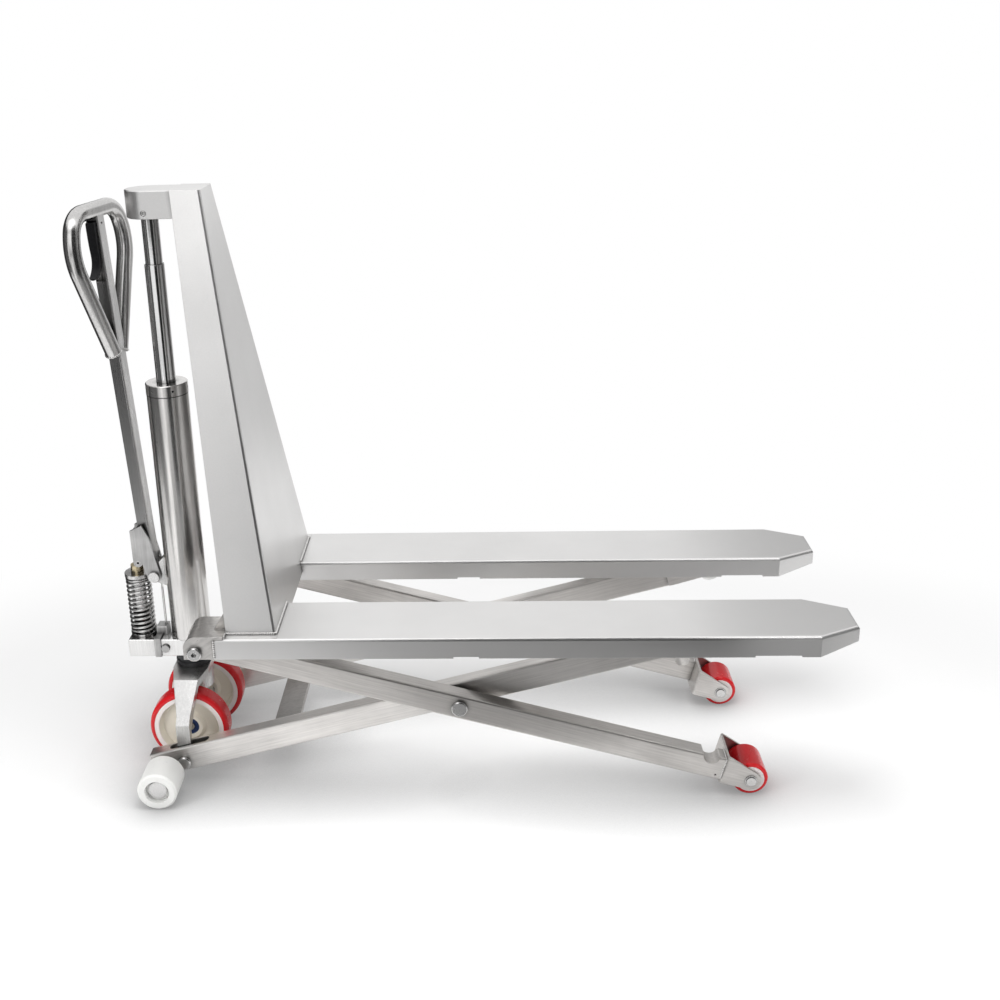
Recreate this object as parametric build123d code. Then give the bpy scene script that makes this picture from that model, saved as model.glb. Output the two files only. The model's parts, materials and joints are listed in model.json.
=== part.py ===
from build123d import *
import math
import os

# Scissor pallet truck in stainless steel, standing with its forks at mid height.
# Millimetres and degrees. X runs from the heel (0) to the fork tips, Y to the left, Z up from the
# floor. At the end every piece is moved along X so that the origin is under the middle of the truck.

# Forks
FORK_TOP = 400.0
LOWERED_TOP = 100.0
RAISED_TOP = 800.0
FORK_LENGTH = 1170.0
FORK_WIDTH = 170.0
FORKS_OVERALL = 540.0
FORK_PLATE = 5.0
FORK_SKIRT = 45.0
FORK_BEND = 7.0
FORK_REAR = 130.0
NOSE_LENGTH = 85.0
NOSE_WIDTH = 83.0
NOSE_RISE = 12.0
HEEL_STEP = 1.0
RELIEF_DEPTH = 3.5
RELIEF_STARTS = (357.0, 957.0)
RELIEF_LENGTHS = (51.0, 92.0)

# Pivots of the scissor
REAR_PIVOT_X = -170.0
REAR_PIVOT_DROP = 31.0
CENTRE_X = 365.0
LOAD_AXLE_X = 974.0
STRAP_PIVOT_X = -243.0

# Legs
LEG_WALL = 4.0
LEG_SETBACK = 28.0
LEG_GAP = 10.0
OUTER_LEG_WIDTH = 40.0
OUTER_LEG_HEIGHT = 52.0
OUTER_LEG_TILT = 1.0
OUTER_LEG_TAIL = 26.0
INNER_LEG_WIDTH = 34.0
INNER_LEG_HEIGHT = 56.0
INNER_LEG_TILT = 0.45
INNER_LEG_OFFSET = 2.0
INNER_LEG_TAIL = 70.0
INNER_LEG_REACH = 535.0
TAIL_CHAMFER = 16.0
LEG_CORNER = 4.0
SADDLE_RADIUS = 18.0
SADDLE_BACKSET = 32.0
DRAIN_DIA = 4.0
DRAIN_BACKSET = 12.0
STRAP_SLOT_BACK = 26.0
STRAP_SLOT_AHEAD = 66.0
STRAP_SLOT_WIDTH = 20.0
CROSS_PLATE_WIDTH = 60.0
CROSS_PLATE_THICK = 8.0
CROSS_PLATE_AHEAD = 222.0
CROSS_PLATE_LIFT = -14.0

# Pins and fits
PIN_DIA = 20.0
PIN_CLEARANCE = 0.2
RUN_CLEARANCE = 0.3
PIN_HEAD_DIA = 30.0
PIN_HEAD_THICK = 8.0
PIN_HEAD_EDGE = 2.0
CENTRE_HEAD_DIA = 34.0
SOCKET_FLATS = 10.0
SOCKET_DEPTH = 5.0

# Load rollers and their brackets
LOAD_ROLLER_DIA = 74.0
LOAD_TYRE_WALL = 8.0
LOAD_AXLE_DIA = 20.0
BRACKET_WIDTH = 93.0
BRACKET_CHEEK = 5.0
BRACKET_BACK = 570.0
BRACKET_HEIGHT = 64.0
BRACKET_NOSE_RADIUS = 21.0
BRACKET_BEND = 8.0
ROLLER_SIDE_GAP = 1.5
AXLE_PROUD = 4.0
CLIP_RING_DIA = 26.0
CLIP_RING_THICK = 1.5
CLIP_RING_MOUTH = 9.0

# Slide rollers under the forks
SLIDE_OVERHANG = 51.5
SLIDE_GAP = 2.4
SLIDE_ROLLER_DIA = 50.0
SLIDE_ROLLER_WIDTH = 12.0
SLIDE_ARM_THICK = 5.0
SLIDE_ARM_HEIGHT = 40.0
SLIDE_ARM_LAP = 44.5
SLIDE_PIN_DIA = 16.0

# Rear pivot brackets on the forks
PIVOT_BRACKET_LENGTH = 63.0
PIVOT_BRACKET_PLATE = 6.0
PIVOT_BRACKET_LAP = 20.0
PIVOT_BRACKET_ROUND = 26.0
PIVOT_CHEEK_GAP = 2.5
GUSSET_HEIGHT = 36.0
GUSSET_REACH = 26.0
GUSSET_PLATE = 5.0

# Stabiliser rollers behind the inner legs
STABILISER_DIA = 85.0
STABILISER_WIDTH = 77.0
STABILISER_SETBACK = 36.0
STABILISER_LIFT = 0.5
STABILISER_COLLAR = 28.0
STABILISER_RECESS = 14.0
STABILISER_EDGE = 4.0
STABILISER_RECESS_DIA = 52.0
STABILISER_AXLE_DIA = 20.0
STABILISER_CAP_DIA = 40.0
STABILISER_CAP_THICK = 5.0

# Load shield between the forks and the ram head
SHIELD_SHEET = 4.0
SHIELD_TOP = 1274.0
SHIELD_FOOT_FRONT = -5.0
SHIELD_FOOT_DEPTH = 103.0
SHIELD_FOOT_WIDTH = 490.0
SHIELD_HEAD_FRONT = -126.0
SHIELD_HEAD_DEPTH = 62.0
SHIELD_HEAD_WIDTH = 104.0
SHIELD_LIP = 22.0
SHIELD_BEND = 6.0
SHIELD_DROP = 25.0

# Telescopic ram
KING_X = -246.0
BARREL_DIA = 88.0
BARREL_BORE = 72.0
BARREL_FLOOR = 8.0
GLAND_HEIGHT = 25.0
GLAND_STEP = 0.5
GLAND_HOLE_DIA = 5.0
GLAND_HOLE_COUNT = 6
TUBE_WALL = 1.5
TUBE_SHOW = 97.0
TUBE_FOOT = 500.0
ROD_DIA = 35.5
ROD_CLEARANCE = 1.25
ROD_LENGTH = 300.0
ROD_SOCKET = 20.0
HEAD_WIDTH = 90.0
HEAD_HEIGHT = 57.0
HEAD_EDGE = 4.0
HEAD_PARKING = 48.0
SET_SCREW_DIA = 12.0
SET_SCREW_DEPTH = 4.0
SET_SCREW_RISE = 12.0

# Steering bridge
BRIDGE_TOP = 207.0
BRIDGE_THICK = 16.0
BRIDGE_WIDTH = 80.0
BRIDGE_ARM_FLAT = 96.0
BRIDGE_SHOULDER_DROP = 75.0
COLLAR_DIA = 80.0
COLLAR_HEIGHT = 60.0
STRAP_THICK = 14.0
STRAP_WIDTH = 30.0
THRUST_HEIGHT = 29.0
THRUST_DIA = 80.0

# Steering wheels
WHEEL_DIA = 178.0
WHEEL_WIDTH = 45.0
WHEEL_INNER = 58.0
WHEEL_SHOULDER = 9.0
TYRE_WALL = 11.0
RIM_WEB = 14.0
RIM_LIP = 10.0
HUB_DIA = 58.0
HUB_SETBACK = 8.0
WHEEL_BEARING_DIA = 42.0
WHEEL_AXLE_DIA = 20.0
KING_DIA = 44.0
AXLE_BOSS_WIDTH = 44.0
AXLE_BOSS_HEIGHT = 50.0

# Pump block and pump
BLOCK_REACH = 136.0
BLOCK_WIDTH = 80.0
BLOCK_HEIGHT = 41.0
BLOCK_EDGE = 1.5
PUMP_OFFSET = 109.0
PUMP_CYLINDER_DIA = 40.0
PUMP_CYLINDER_HEIGHT = 62.0
SPRING_SEAT_DIA = 58.0
SPRING_SEAT_THICK = 6.0
PLUNGER_DIA = 28.0
CAP_DIA = 58.0
CAP_THICK = 8.0
BUTTON_HEIGHT = 18.0
SPRING_OUTER_DIA = 57.0
SPRING_WIRE = 5.6
SPRING_TURNS = 13
SPRING_END_GAP = 0.8

# Release valve and rod
VALVE_OFFSET = 64.0
VALVE_LENGTH = 24.0
VALVE_WIDTH = 30.0
VALVE_HEIGHT = 20.0
CLIP_WIDTH = 14.0
CLIP_THICK = 4.0
PLUG_DIA = 18.0
PLUG_PROUD = 5.0
RELEASE_ROD_OFFSET = 57.0
RELEASE_ROD_DIA = 5.0
RELEASE_ROD_HEIGHT = 101.0
RELEASE_ROD_SUNK = 10.0

# Pump handle
HANDLE_PIVOT_OFFSET = 66.0
HANDLE_PIVOT_Z = 425.0
HANDLE_LEAN = 2.9
HANDLE_TWIST = 13.0
SHAFT_SETBACK = 7.0
SHAFT_SIDE = 28.0
SHAFT_WALL = 3.0
SHAFT_START = 48.0
LOOP_DIA = 34.0
LOOP_WALL = 2.5
LOOP_JUNCTION = 512.0
LOOP_SHOULDER = 729.0
LOOP_CROWN = 80.0
LOOP_JUNCTION_HALF = 14.0
LOOP_SHOULDER_HALF = 108.0
LOOP_TOP_HALF = 84.0
LOOP_SHOULDER_BEND = 1.43
LOOP_TOP_BEND = 0.62
CLEVIS_PLATE = 6.0
CLEVIS_TOP_RISE = 102.0
CLEVIS_TOP_BACK = 24.0
CLEVIS_TOP_SLANT = 25.0
CLEVIS_EYE = 15.0
ROLLER_EYE = 10.0
CLEVIS_WEB = 5.0
CLEVIS_WEB_HEIGHT = 34.0
LUG_PLATE = 6.0
LUG_INNER = 10.0
LUG_LOW = 25.0
LUG_HIGH = 46.0
PIVOT_BOLT_DIA = 16.0
PIVOT_BOLT_HEAD = 24.0
PUMP_ROLLER_DIA = 24.0
PUMP_ROLLER_WIDTH = 18.0
PUMP_ARM_BACK = 33.0
PUMP_PIN_DIA = 10.0
PUMP_PIN_BORE = 6.0

# Release trigger in the handle loop
TRIGGER_DROP = 27.0
TRIGGER_LENGTH = 110.0
TRIGGER_SIDE_GAP = 1.25
TRIGGER_THICK = 8.0
TRIGGER_STANDOFF = 1.5
TRIGGER_TIP_OUT = 45.0
TRIGGER_TIP_WIDTH = 17.0
TRIGGER_HUB_DIA = 14.0
TRIGGER_SLOT_LENGTH = 126.0
TRIGGER_PIN_DIA = 6.0
TRIGGER_PIN_SUNK = 1.5

# Places worked out from the driving dimensions
FORK_Y = (FORKS_OVERALL - FORK_WIDTH) / 2
FORK_INNER = FORK_Y - FORK_WIDTH / 2
FORK_OUTER = FORK_Y + FORK_WIDTH / 2
FORK_FLOOR = FORK_TOP - FORK_SKIRT
HEEL_TOP = FORK_TOP - HEEL_STEP

INNER_LEG_Y = FORK_Y - LEG_SETBACK
INNER_LEG_IN = INNER_LEG_Y - INNER_LEG_WIDTH / 2
INNER_LEG_OUT = INNER_LEG_Y + INNER_LEG_WIDTH / 2
OUTER_LEG_IN = INNER_LEG_OUT + LEG_GAP
OUTER_LEG_OUT = OUTER_LEG_IN + OUTER_LEG_WIDTH
OUTER_LEG_Y = (OUTER_LEG_IN + OUTER_LEG_OUT) / 2

BRACKET_IN = OUTER_LEG_OUT - BRACKET_WIDTH
ROLLER_IN = BRACKET_IN + BRACKET_CHEEK + ROLLER_SIDE_GAP
ROLLER_OUT = OUTER_LEG_OUT - BRACKET_CHEEK - ROLLER_SIDE_GAP

REAR_PIVOT = (REAR_PIVOT_X, FORK_TOP - REAR_PIVOT_DROP)
LOAD_AXLE = (LOAD_AXLE_X, LOAD_ROLLER_DIA / 2)
CENTRE_SHARE = (CENTRE_X - REAR_PIVOT_X) / (LOAD_AXLE_X - REAR_PIVOT_X)
CENTRE = (CENTRE_X, REAR_PIVOT[1] + (LOAD_AXLE[1] - REAR_PIVOT[1]) * CENTRE_SHARE)
# The inner leg is longer than the rear half of the outer leg by the offset of their rear pivots.
# The forks then rise in a straight line, with the two legs turning in a constant ratio.
UPPER_LINK = math.dist(REAR_PIVOT, CENTRE)
LOWER_LINK = UPPER_LINK + REAR_PIVOT_X - STRAP_PIVOT_X
STRAP_DROP = math.sqrt(LOWER_LINK**2 - (CENTRE_X - STRAP_PIVOT_X) ** 2)
STRAP_PIVOT = (STRAP_PIVOT_X, CENTRE[1] - STRAP_DROP)
OUTER_PIN_SLOPE = math.degrees(math.asin((REAR_PIVOT[1] - CENTRE[1]) / UPPER_LINK))
INNER_PIN_SLOPE = math.degrees(math.asin(STRAP_DROP / LOWER_LINK))
LEG_RATIO = math.sqrt(LOWER_LINK / UPPER_LINK)
OUTER_SLOPE = OUTER_PIN_SLOPE - OUTER_LEG_TILT
INNER_SLOPE = INNER_PIN_SLOPE - INNER_LEG_TILT


def fork_top_at(turn):
    """Height of the fork tops once the inner legs have turned by this many degrees from rest."""
    lower = math.radians(INNER_PIN_SLOPE + turn)
    upper = math.radians(OUTER_PIN_SLOPE + turn * LEG_RATIO)
    rise = LOWER_LINK * math.sin(lower) + UPPER_LINK * math.sin(upper)
    return STRAP_PIVOT[1] + rise + REAR_PIVOT_DROP


def turn_for(height, low=-30.0, high=60.0):
    """Turn of the inner legs that brings the fork tops to this height, found by halving."""
    for _ in range(60):
        middle = (low + high) / 2
        if fork_top_at(middle) < height:
            low = middle
        else:
            high = middle
    return low


LIFT_MIN = turn_for(LOWERED_TOP)
LIFT_MAX = turn_for(RAISED_TOP)

HEAD_BOTTOM = SHIELD_TOP - HEAD_HEIGHT
BLOCK_FLOOR = BRIDGE_TOP + THRUST_HEIGHT
BLOCK_TOP = BLOCK_FLOOR + BLOCK_HEIGHT
BARREL_TOP = HEAD_BOTTOM - (FORK_TOP - LOWERED_TOP) - HEAD_PARKING
TUBE_BORE = ROD_DIA + 2 * ROD_CLEARANCE
TUBE_DIA = TUBE_BORE + 2 * TUBE_WALL
TUBE_TOP = HEAD_BOTTOM - TUBE_SHOW
PUMP_X = KING_X - PUMP_OFFSET
VALVE_X = KING_X - VALVE_OFFSET
RELEASE_X = KING_X - RELEASE_ROD_OFFSET
HANDLE_PIVOT = (KING_X - HANDLE_PIVOT_OFFSET, HANDLE_PIVOT_Z)
PUMP_ROLLER = (HANDLE_PIVOT[0] - PUMP_ARM_BACK, HANDLE_PIVOT[1] + PUMP_ARM_BACK)
BUTTON_TOP = PUMP_ROLLER[1] - PUMP_ROLLER_DIA / 2 - RUN_CLEARANCE
CAP_TOP = BUTTON_TOP - BUTTON_HEIGHT
LOOP_TOP = LOOP_SHOULDER + LOOP_CROWN
TRIGGER_PIVOT = LOOP_TOP - TRIGGER_DROP
TRIGGER_WIDTH = SHAFT_SIDE - 2 * (SHAFT_WALL + TRIGGER_SIDE_GAP)
TWIST_REACH = SHAFT_SIDE / 2 * (
    math.cos(math.radians(HANDLE_TWIST)) + math.sin(math.radians(HANDLE_TWIST))
)
CLEVIS_IN = TWIST_REACH + PIN_CLEARANCE
CLEVIS_OUT = CLEVIS_IN + CLEVIS_PLATE
WHEEL_OUT = WHEEL_INNER + WHEEL_WIDTH
HUB_OUT = WHEEL_OUT - HUB_SETBACK
STABILISER_IN = INNER_LEG_OUT + STABILISER_COLLAR
STABILISER_OUT = STABILISER_IN + STABILISER_WIDTH
STABILISER_AXLE = (STRAP_PIVOT_X - STABILISER_SETBACK, STABILISER_DIA / 2 + STABILISER_LIFT)
SLIDE_ARM_OUT = BRACKET_IN - ROLLER_SIDE_GAP
SLIDE_ARM_IN = SLIDE_ARM_OUT - SLIDE_ARM_THICK
SLIDE_ROLLER_OUT = SLIDE_ARM_IN - ROLLER_SIDE_GAP
SLIDE_ROLLER_IN = SLIDE_ROLLER_OUT - SLIDE_ROLLER_WIDTH
SLIDE_PIVOT = (
    CENTRE[0] + (INNER_LEG_REACH + SLIDE_OVERHANG) * math.cos(math.radians(INNER_PIN_SLOPE)),
    FORK_TOP - FORK_PLATE - SLIDE_GAP - SLIDE_ROLLER_DIA / 2,
)
PIVOT_CHEEK_OUT = OUTER_LEG_IN - PIVOT_CHEEK_GAP
PIVOT_CHEEK_IN = PIVOT_CHEEK_OUT - BRACKET_CHEEK

nodes = {}


def block(x0, x1, y0, y1, z0, z1):
    """Box between two corners."""
    return Pos((x0 + x1) / 2, (y0 + y1) / 2, (z0 + z1) / 2) * Box(x1 - x0, y1 - y0, z1 - z0)


def bar(place, y0, y1, diameter):
    """Round bar across the truck through a point (x, z)."""
    shape = Rot(90, 0, 0) * Cylinder(diameter / 2, y1 - y0)
    return Pos(place[0], (y0 + y1) / 2, place[1]) * shape


def post(x, y, z0, z1, diameter):
    """Upright round bar."""
    return Pos(x, y, (z0 + z1) / 2) * Cylinder(diameter / 2, z1 - z0)


def side_plate(outline, y0, y1):
    """Plate from a side outline drawn in X and Z."""
    return Pos(0, y1, 0) * extrude(Plane.XZ * outline, amount=y1 - y0)


def turned(points):
    """Solid of revolution about Z from a half section given as (radius, z) points."""
    section = Plane.XZ * make_face(Polyline(*points, close=True))
    return revolve(section, Axis.Z)


def across(shape, place, y):
    """Put a shape that was turned about Z onto an axle across the truck, its Z pointing left."""
    return Pos(place[0], y, place[1]) * (Rot(-90, 0, 0) * shape)


def pair(name, left):
    """Keep a piece of the left side and its mirror image on the right."""
    nodes[name + "_left"] = left
    nodes[name + "_right"] = mirror(left, about=Plane.XZ)


def both(shape):
    """A piece and its mirror image, as separate solids of one node."""
    return list(shape.solids()) + list(mirror(shape, about=Plane.XZ).solids())


def hex_socket(place, y, depth):
    """Six-sided hole for a key, sunk from a bolt's end at y towards the middle of the truck."""
    hole = extrude(RegularPolygon(SOCKET_FLATS / 2, 6, major_radius=False), amount=depth)
    return Pos(place[0], y, place[1]) * (Rot(90, 0, 0) * hole)


def stepped_pin(place, stations):
    """Pin across the truck from (y, diameter) stations, each diameter reaching to the next y."""
    points = [(0, stations[0][0])]
    for (y, diameter), (y_next, _) in zip(stations, stations[1:]):
        points.append((diameter / 2, y))
        points.append((diameter / 2, y_next))
    points.append((0, stations[-1][0]))
    return across(turned(points), place, 0)


def eased_head(pin):
    """Pin with the rim of its left end broken at 45 degrees."""
    rim = pin.edges().filter_by(GeomType.CIRCLE).group_by(Axis.Y)[-1]
    return chamfer(rim, PIN_HEAD_EDGE)


def ring(outer, inner, z0, z1):
    """Plain ring about Z."""
    return turned([(inner / 2, z0), (outer / 2, z0), (outer / 2, z1), (inner / 2, z1)])


def leg_frame(slope):
    """Frame at the centre pivot with its X along a leg; a positive slope runs down to the front."""
    return Pos(CENTRE[0], 0, CENTRE[1]) * Rot(0, slope, 0)


def in_leg(place, slope):
    """A point (x, z) of the truck in a leg's own frame."""
    dx = place[0] - CENTRE[0]
    dz = place[1] - CENTRE[1]
    angle = math.radians(slope)
    along = dx * math.cos(angle) - dz * math.sin(angle)
    up = dx * math.sin(angle) + dz * math.cos(angle)
    return along, up


def leg_tube(x0, x1, z_middle, y0, y1, height):
    """Rectangular tube along X with rounded long edges and closed ends."""
    outer = block(x0, x1, y0, y1, z_middle - height / 2, z_middle + height / 2)
    outer = fillet(outer.edges().filter_by(Axis.X), LEG_CORNER)
    hollow = block(
        x0 + LEG_WALL, x1 - LEG_WALL, y0 + LEG_WALL, y1 - LEG_WALL,
        z_middle - height / 2 + LEG_WALL, z_middle + height / 2 - LEG_WALL,
    )
    return outer, hollow


# Forks: folded channels, open below and behind, with a tapered nose
def fork():
    half = FORK_WIDTH / 2
    tip = NOSE_WIDTH / 2
    plan = Polyline(
        (-FORK_REAR, -half), (FORK_LENGTH - NOSE_LENGTH, -half), (FORK_LENGTH, -tip),
        (FORK_LENGTH, tip), (FORK_LENGTH - NOSE_LENGTH, half), (-FORK_REAR, half), close=True,
    )
    outline = make_face(plan)
    outer = Pos(0, FORK_Y, FORK_FLOOR) * extrude(outline, amount=FORK_SKIRT)
    folds = [
        edge
        for edge in outer.edges().group_by(Axis.Z)[-1]
        if edge.center().X > -FORK_REAR + FORK_PLATE
    ]
    outer = fillet(folds, FORK_BEND)
    hollow = offset(outline, -FORK_PLATE, kind=Kind.INTERSECTION)
    hollow = Pos(0, FORK_Y, FORK_FLOOR) * extrude(hollow, amount=FORK_SKIRT - FORK_PLATE)
    behind = block(
        -FORK_REAR, -FORK_REAR + 2 * FORK_PLATE, FORK_INNER + FORK_PLATE,
        FORK_OUTER - FORK_PLATE, FORK_FLOOR, FORK_TOP - FORK_PLATE,
    )
    nose_start = FORK_LENGTH - NOSE_LENGTH
    under_nose = make_face(Polyline(
        (nose_start, FORK_FLOOR), (FORK_LENGTH, FORK_FLOOR),
        (FORK_LENGTH, FORK_FLOOR + NOSE_RISE), close=True,
    ))
    shape = outer - hollow - behind - side_plate(under_nose, FORK_INNER, FORK_OUTER)
    for start, length in zip(RELIEF_STARTS, RELIEF_LENGTHS):
        shape -= block(
            start, start + length, FORK_INNER, FORK_OUTER, FORK_FLOOR, FORK_FLOOR + RELIEF_DEPTH
        )
    return shape - block(-FORK_REAR, 0, FORK_INNER, FORK_OUTER, HEEL_TOP, FORK_TOP)


pair("fork", fork())


# Load shield: one folded sheet, wide at the heel and narrow at the ram head, open at the back
def shield_level(z, inset_front, inset_side, inset_back):
    """Cross section of the shield at a height, drawn in by the given amounts."""
    share = (z - HEEL_TOP) / (SHIELD_TOP - HEEL_TOP)
    front = SHIELD_FOOT_FRONT + (SHIELD_HEAD_FRONT - SHIELD_FOOT_FRONT) * share
    depth = SHIELD_FOOT_DEPTH + (SHIELD_HEAD_DEPTH - SHIELD_FOOT_DEPTH) * share
    width = SHIELD_FOOT_WIDTH + (SHIELD_HEAD_WIDTH - SHIELD_FOOT_WIDTH) * share
    x0 = front - depth + inset_back
    x1 = front - inset_front
    level = Rectangle(x1 - x0, width - 2 * inset_side)
    return Pos((x0 + x1) / 2, 0, z) * level


def shield_body(z0, z1, inset_front, inset_side, inset_back, bend):
    """Tapered body between two heights, with its two front folds rounded."""
    body = loft([
        shield_level(z0, inset_front, inset_side, inset_back),
        shield_level(z1, inset_front, inset_side, inset_back),
    ])
    upright = [e for e in body.edges() if abs(e.bounding_box().size.Z - (z1 - z0)) < 1]
    front = sorted(upright, key=lambda e: e.center().X)[-2:]
    return fillet(front, bend)


def load_shield():
    sheet = SHIELD_SHEET
    outer = shield_body(HEEL_TOP, SHIELD_TOP, 0, 0, 0, SHIELD_BEND)
    hollow = shield_body(HEEL_TOP, SHIELD_TOP - sheet, sheet, sheet, sheet, SHIELD_BEND - sheet)
    opening = loft([
        shield_level(HEEL_TOP, SHIELD_FOOT_DEPTH / 2, SHIELD_LIP, -sheet),
        shield_level(HEAD_BOTTOM - sheet, SHIELD_HEAD_DEPTH / 2, SHIELD_LIP, -sheet),
    ])
    lean = (SHIELD_FOOT_FRONT - SHIELD_HEAD_FRONT) / (SHIELD_TOP - HEEL_TOP)
    low = HEEL_TOP - SHIELD_DROP
    low_front = SHIELD_FOOT_FRONT + lean * SHIELD_DROP
    apron = make_face(Polyline(
        (SHIELD_FOOT_FRONT - sheet, HEEL_TOP), (SHIELD_FOOT_FRONT, HEEL_TOP),
        (low_front, low), (low_front - sheet, low), close=True,
    ))
    apron_half = FORK_INNER - RUN_CLEARANCE
    return outer - hollow - opening + side_plate(apron, -apron_half, apron_half)


nodes["load_shield"] = load_shield()


# Ram head: the rounded block on top of the ram, welded to the back of the shield
def ram_head():
    plan = Circle(HEAD_WIDTH / 2)
    plan += Pos(-KING_X / 4, 0) * Rectangle(-KING_X / 2, HEAD_WIDTH)
    shape = Pos(KING_X, 0, HEAD_BOTTOM) * extrude(plan, amount=HEAD_HEIGHT)
    rims = shape.edges().group_by(Axis.Z)
    rear_arcs = [e for e in rims[0] + rims[-1] if e.geom_type == GeomType.CIRCLE]
    shape = chamfer(rear_arcs, HEAD_EDGE / 2)
    beyond = make_face(Polyline(
        shield_back(HEAD_BOTTOM - HEAD_EDGE), (0, HEAD_BOTTOM - HEAD_EDGE),
        (0, SHIELD_TOP + HEAD_EDGE), shield_back(SHIELD_TOP + HEAD_EDGE), close=True,
    ))
    shape -= side_plate(beyond, -HEAD_WIDTH, HEAD_WIDTH)
    screw_at = (KING_X, HEAD_BOTTOM + SET_SCREW_RISE)
    near = -HEAD_WIDTH / 2
    shape -= bar(screw_at, near, near + SET_SCREW_DEPTH, SET_SCREW_DIA)
    return shape - post(KING_X, 0, HEAD_BOTTOM, HEAD_BOTTOM + ROD_SOCKET, ROD_DIA)


def shield_back(z):
    """Point (x, z) on the back of the shield at a height."""
    share = (z - HEEL_TOP) / (SHIELD_TOP - HEEL_TOP)
    foot = SHIELD_FOOT_FRONT - SHIELD_FOOT_DEPTH
    head = SHIELD_HEAD_FRONT - SHIELD_HEAD_DEPTH
    return foot + (head - foot) * share, z


nodes["ram_head"] = ram_head()
nodes["ram_rod"] = post(KING_X, 0, HEAD_BOTTOM - ROD_LENGTH, HEAD_BOTTOM + ROD_SOCKET, ROD_DIA)


# Rear pivot brackets: bent saddles behind each fork that carry the upper ends of the outer legs
def pivot_bracket():
    x_front = -FORK_REAR
    x_rear = x_front - PIVOT_BRACKET_LENGTH
    z_top = HEEL_TOP + PIVOT_BRACKET_PLATE
    outline = make_face(Polyline(
        (x_rear, FORK_FLOOR), (x_front, FORK_FLOOR), (x_front, z_top), (x_rear, z_top), close=True,
    ))
    rear_corners = outline.vertices().group_by(Axis.X)[0].sort_by(Axis.Y)
    outline = fillet(rear_corners[-1], PIVOT_BRACKET_ROUND)
    solid = side_plate(outline, PIVOT_CHEEK_IN, FORK_OUTER)
    inside = make_face(Polyline(
        (x_rear - 1, FORK_FLOOR - 1), (x_front + 1, FORK_FLOOR - 1),
        (x_front + 1, HEEL_TOP), (x_rear - 1, HEEL_TOP), close=True,
    ))
    solid -= side_plate(inside, PIVOT_CHEEK_OUT, FORK_OUTER - PIVOT_BRACKET_PLATE)
    solid += block(
        x_front, x_front + PIVOT_BRACKET_LAP, PIVOT_CHEEK_IN, FORK_OUTER, HEEL_TOP, z_top
    )
    foot = SHIELD_FOOT_FRONT - SHIELD_FOOT_DEPTH
    gusset = make_face(Polyline(
        (foot - GUSSET_REACH, z_top), shield_back(z_top), shield_back(z_top + GUSSET_HEIGHT),
        close=True,
    ))
    gusset_out = SHIELD_FOOT_WIDTH / 2 - SHIELD_LIP / 2
    solid += side_plate(gusset, gusset_out - GUSSET_PLATE, gusset_out)
    return solid - bar(REAR_PIVOT, 0, FORKS_OVERALL, PIN_DIA + PIN_CLEARANCE * 2)


pair("pivot_bracket", pivot_bracket())


def rear_pivot_bolt():
    bolt = eased_head(stepped_pin(REAR_PIVOT, [
        (PIVOT_CHEEK_IN - RUN_CLEARANCE, PIN_DIA), (FORK_OUTER, PIN_HEAD_DIA),
        (FORK_OUTER + PIN_HEAD_THICK, 0),
    ]))
    bolt -= hex_socket(REAR_PIVOT, FORK_OUTER + PIN_HEAD_THICK, SOCKET_DEPTH)
    sleeve_in = OUTER_LEG_OUT + RUN_CLEARANCE
    sleeve_out = FORK_OUTER - PIVOT_BRACKET_PLATE
    sleeve = bar(REAR_PIVOT, sleeve_in, sleeve_out, PIN_HEAD_DIA)
    sleeve -= bar(REAR_PIVOT, 0, FORKS_OVERALL, PIN_DIA + PIN_CLEARANCE * 2)
    return [*both(bolt), *both(sleeve)]


nodes["rear_pivot_bolts"] = Compound(rear_pivot_bolt())


# Outer legs: from the rear pivots down to the load rollers
def outer_leg():
    rear = in_leg(REAR_PIVOT, OUTER_SLOPE)
    tail = rear[0] - OUTER_LEG_TAIL
    outer, hollow = leg_tube(
        tail, BRACKET_BACK, 0, OUTER_LEG_IN, OUTER_LEG_OUT, OUTER_LEG_HEIGHT
    )
    saddle_at = (BRACKET_BACK - SADDLE_BACKSET, OUTER_LEG_HEIGHT / 2)
    saddle = bar(saddle_at, OUTER_LEG_IN, OUTER_LEG_OUT, 2 * SADDLE_RADIUS)
    liner = bar(saddle_at, OUTER_LEG_IN, OUTER_LEG_OUT, 2 * (SADDLE_RADIUS + LEG_WALL))
    drain_at = (BRACKET_BACK - DRAIN_BACKSET, LEG_WALL * 2.5 - OUTER_LEG_HEIGHT / 2)
    shape = outer - (hollow - liner) - saddle
    shape -= bar(drain_at, OUTER_LEG_OUT - 2 * LEG_WALL, OUTER_LEG_OUT, DRAIN_DIA)
    for hole in (rear, (0, 0)):
        shape -= bar(hole, OUTER_LEG_IN, OUTER_LEG_OUT, PIN_DIA + PIN_CLEARANCE * 2)
    return leg_frame(OUTER_SLOPE) * shape


pair("outer_leg", outer_leg())


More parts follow.
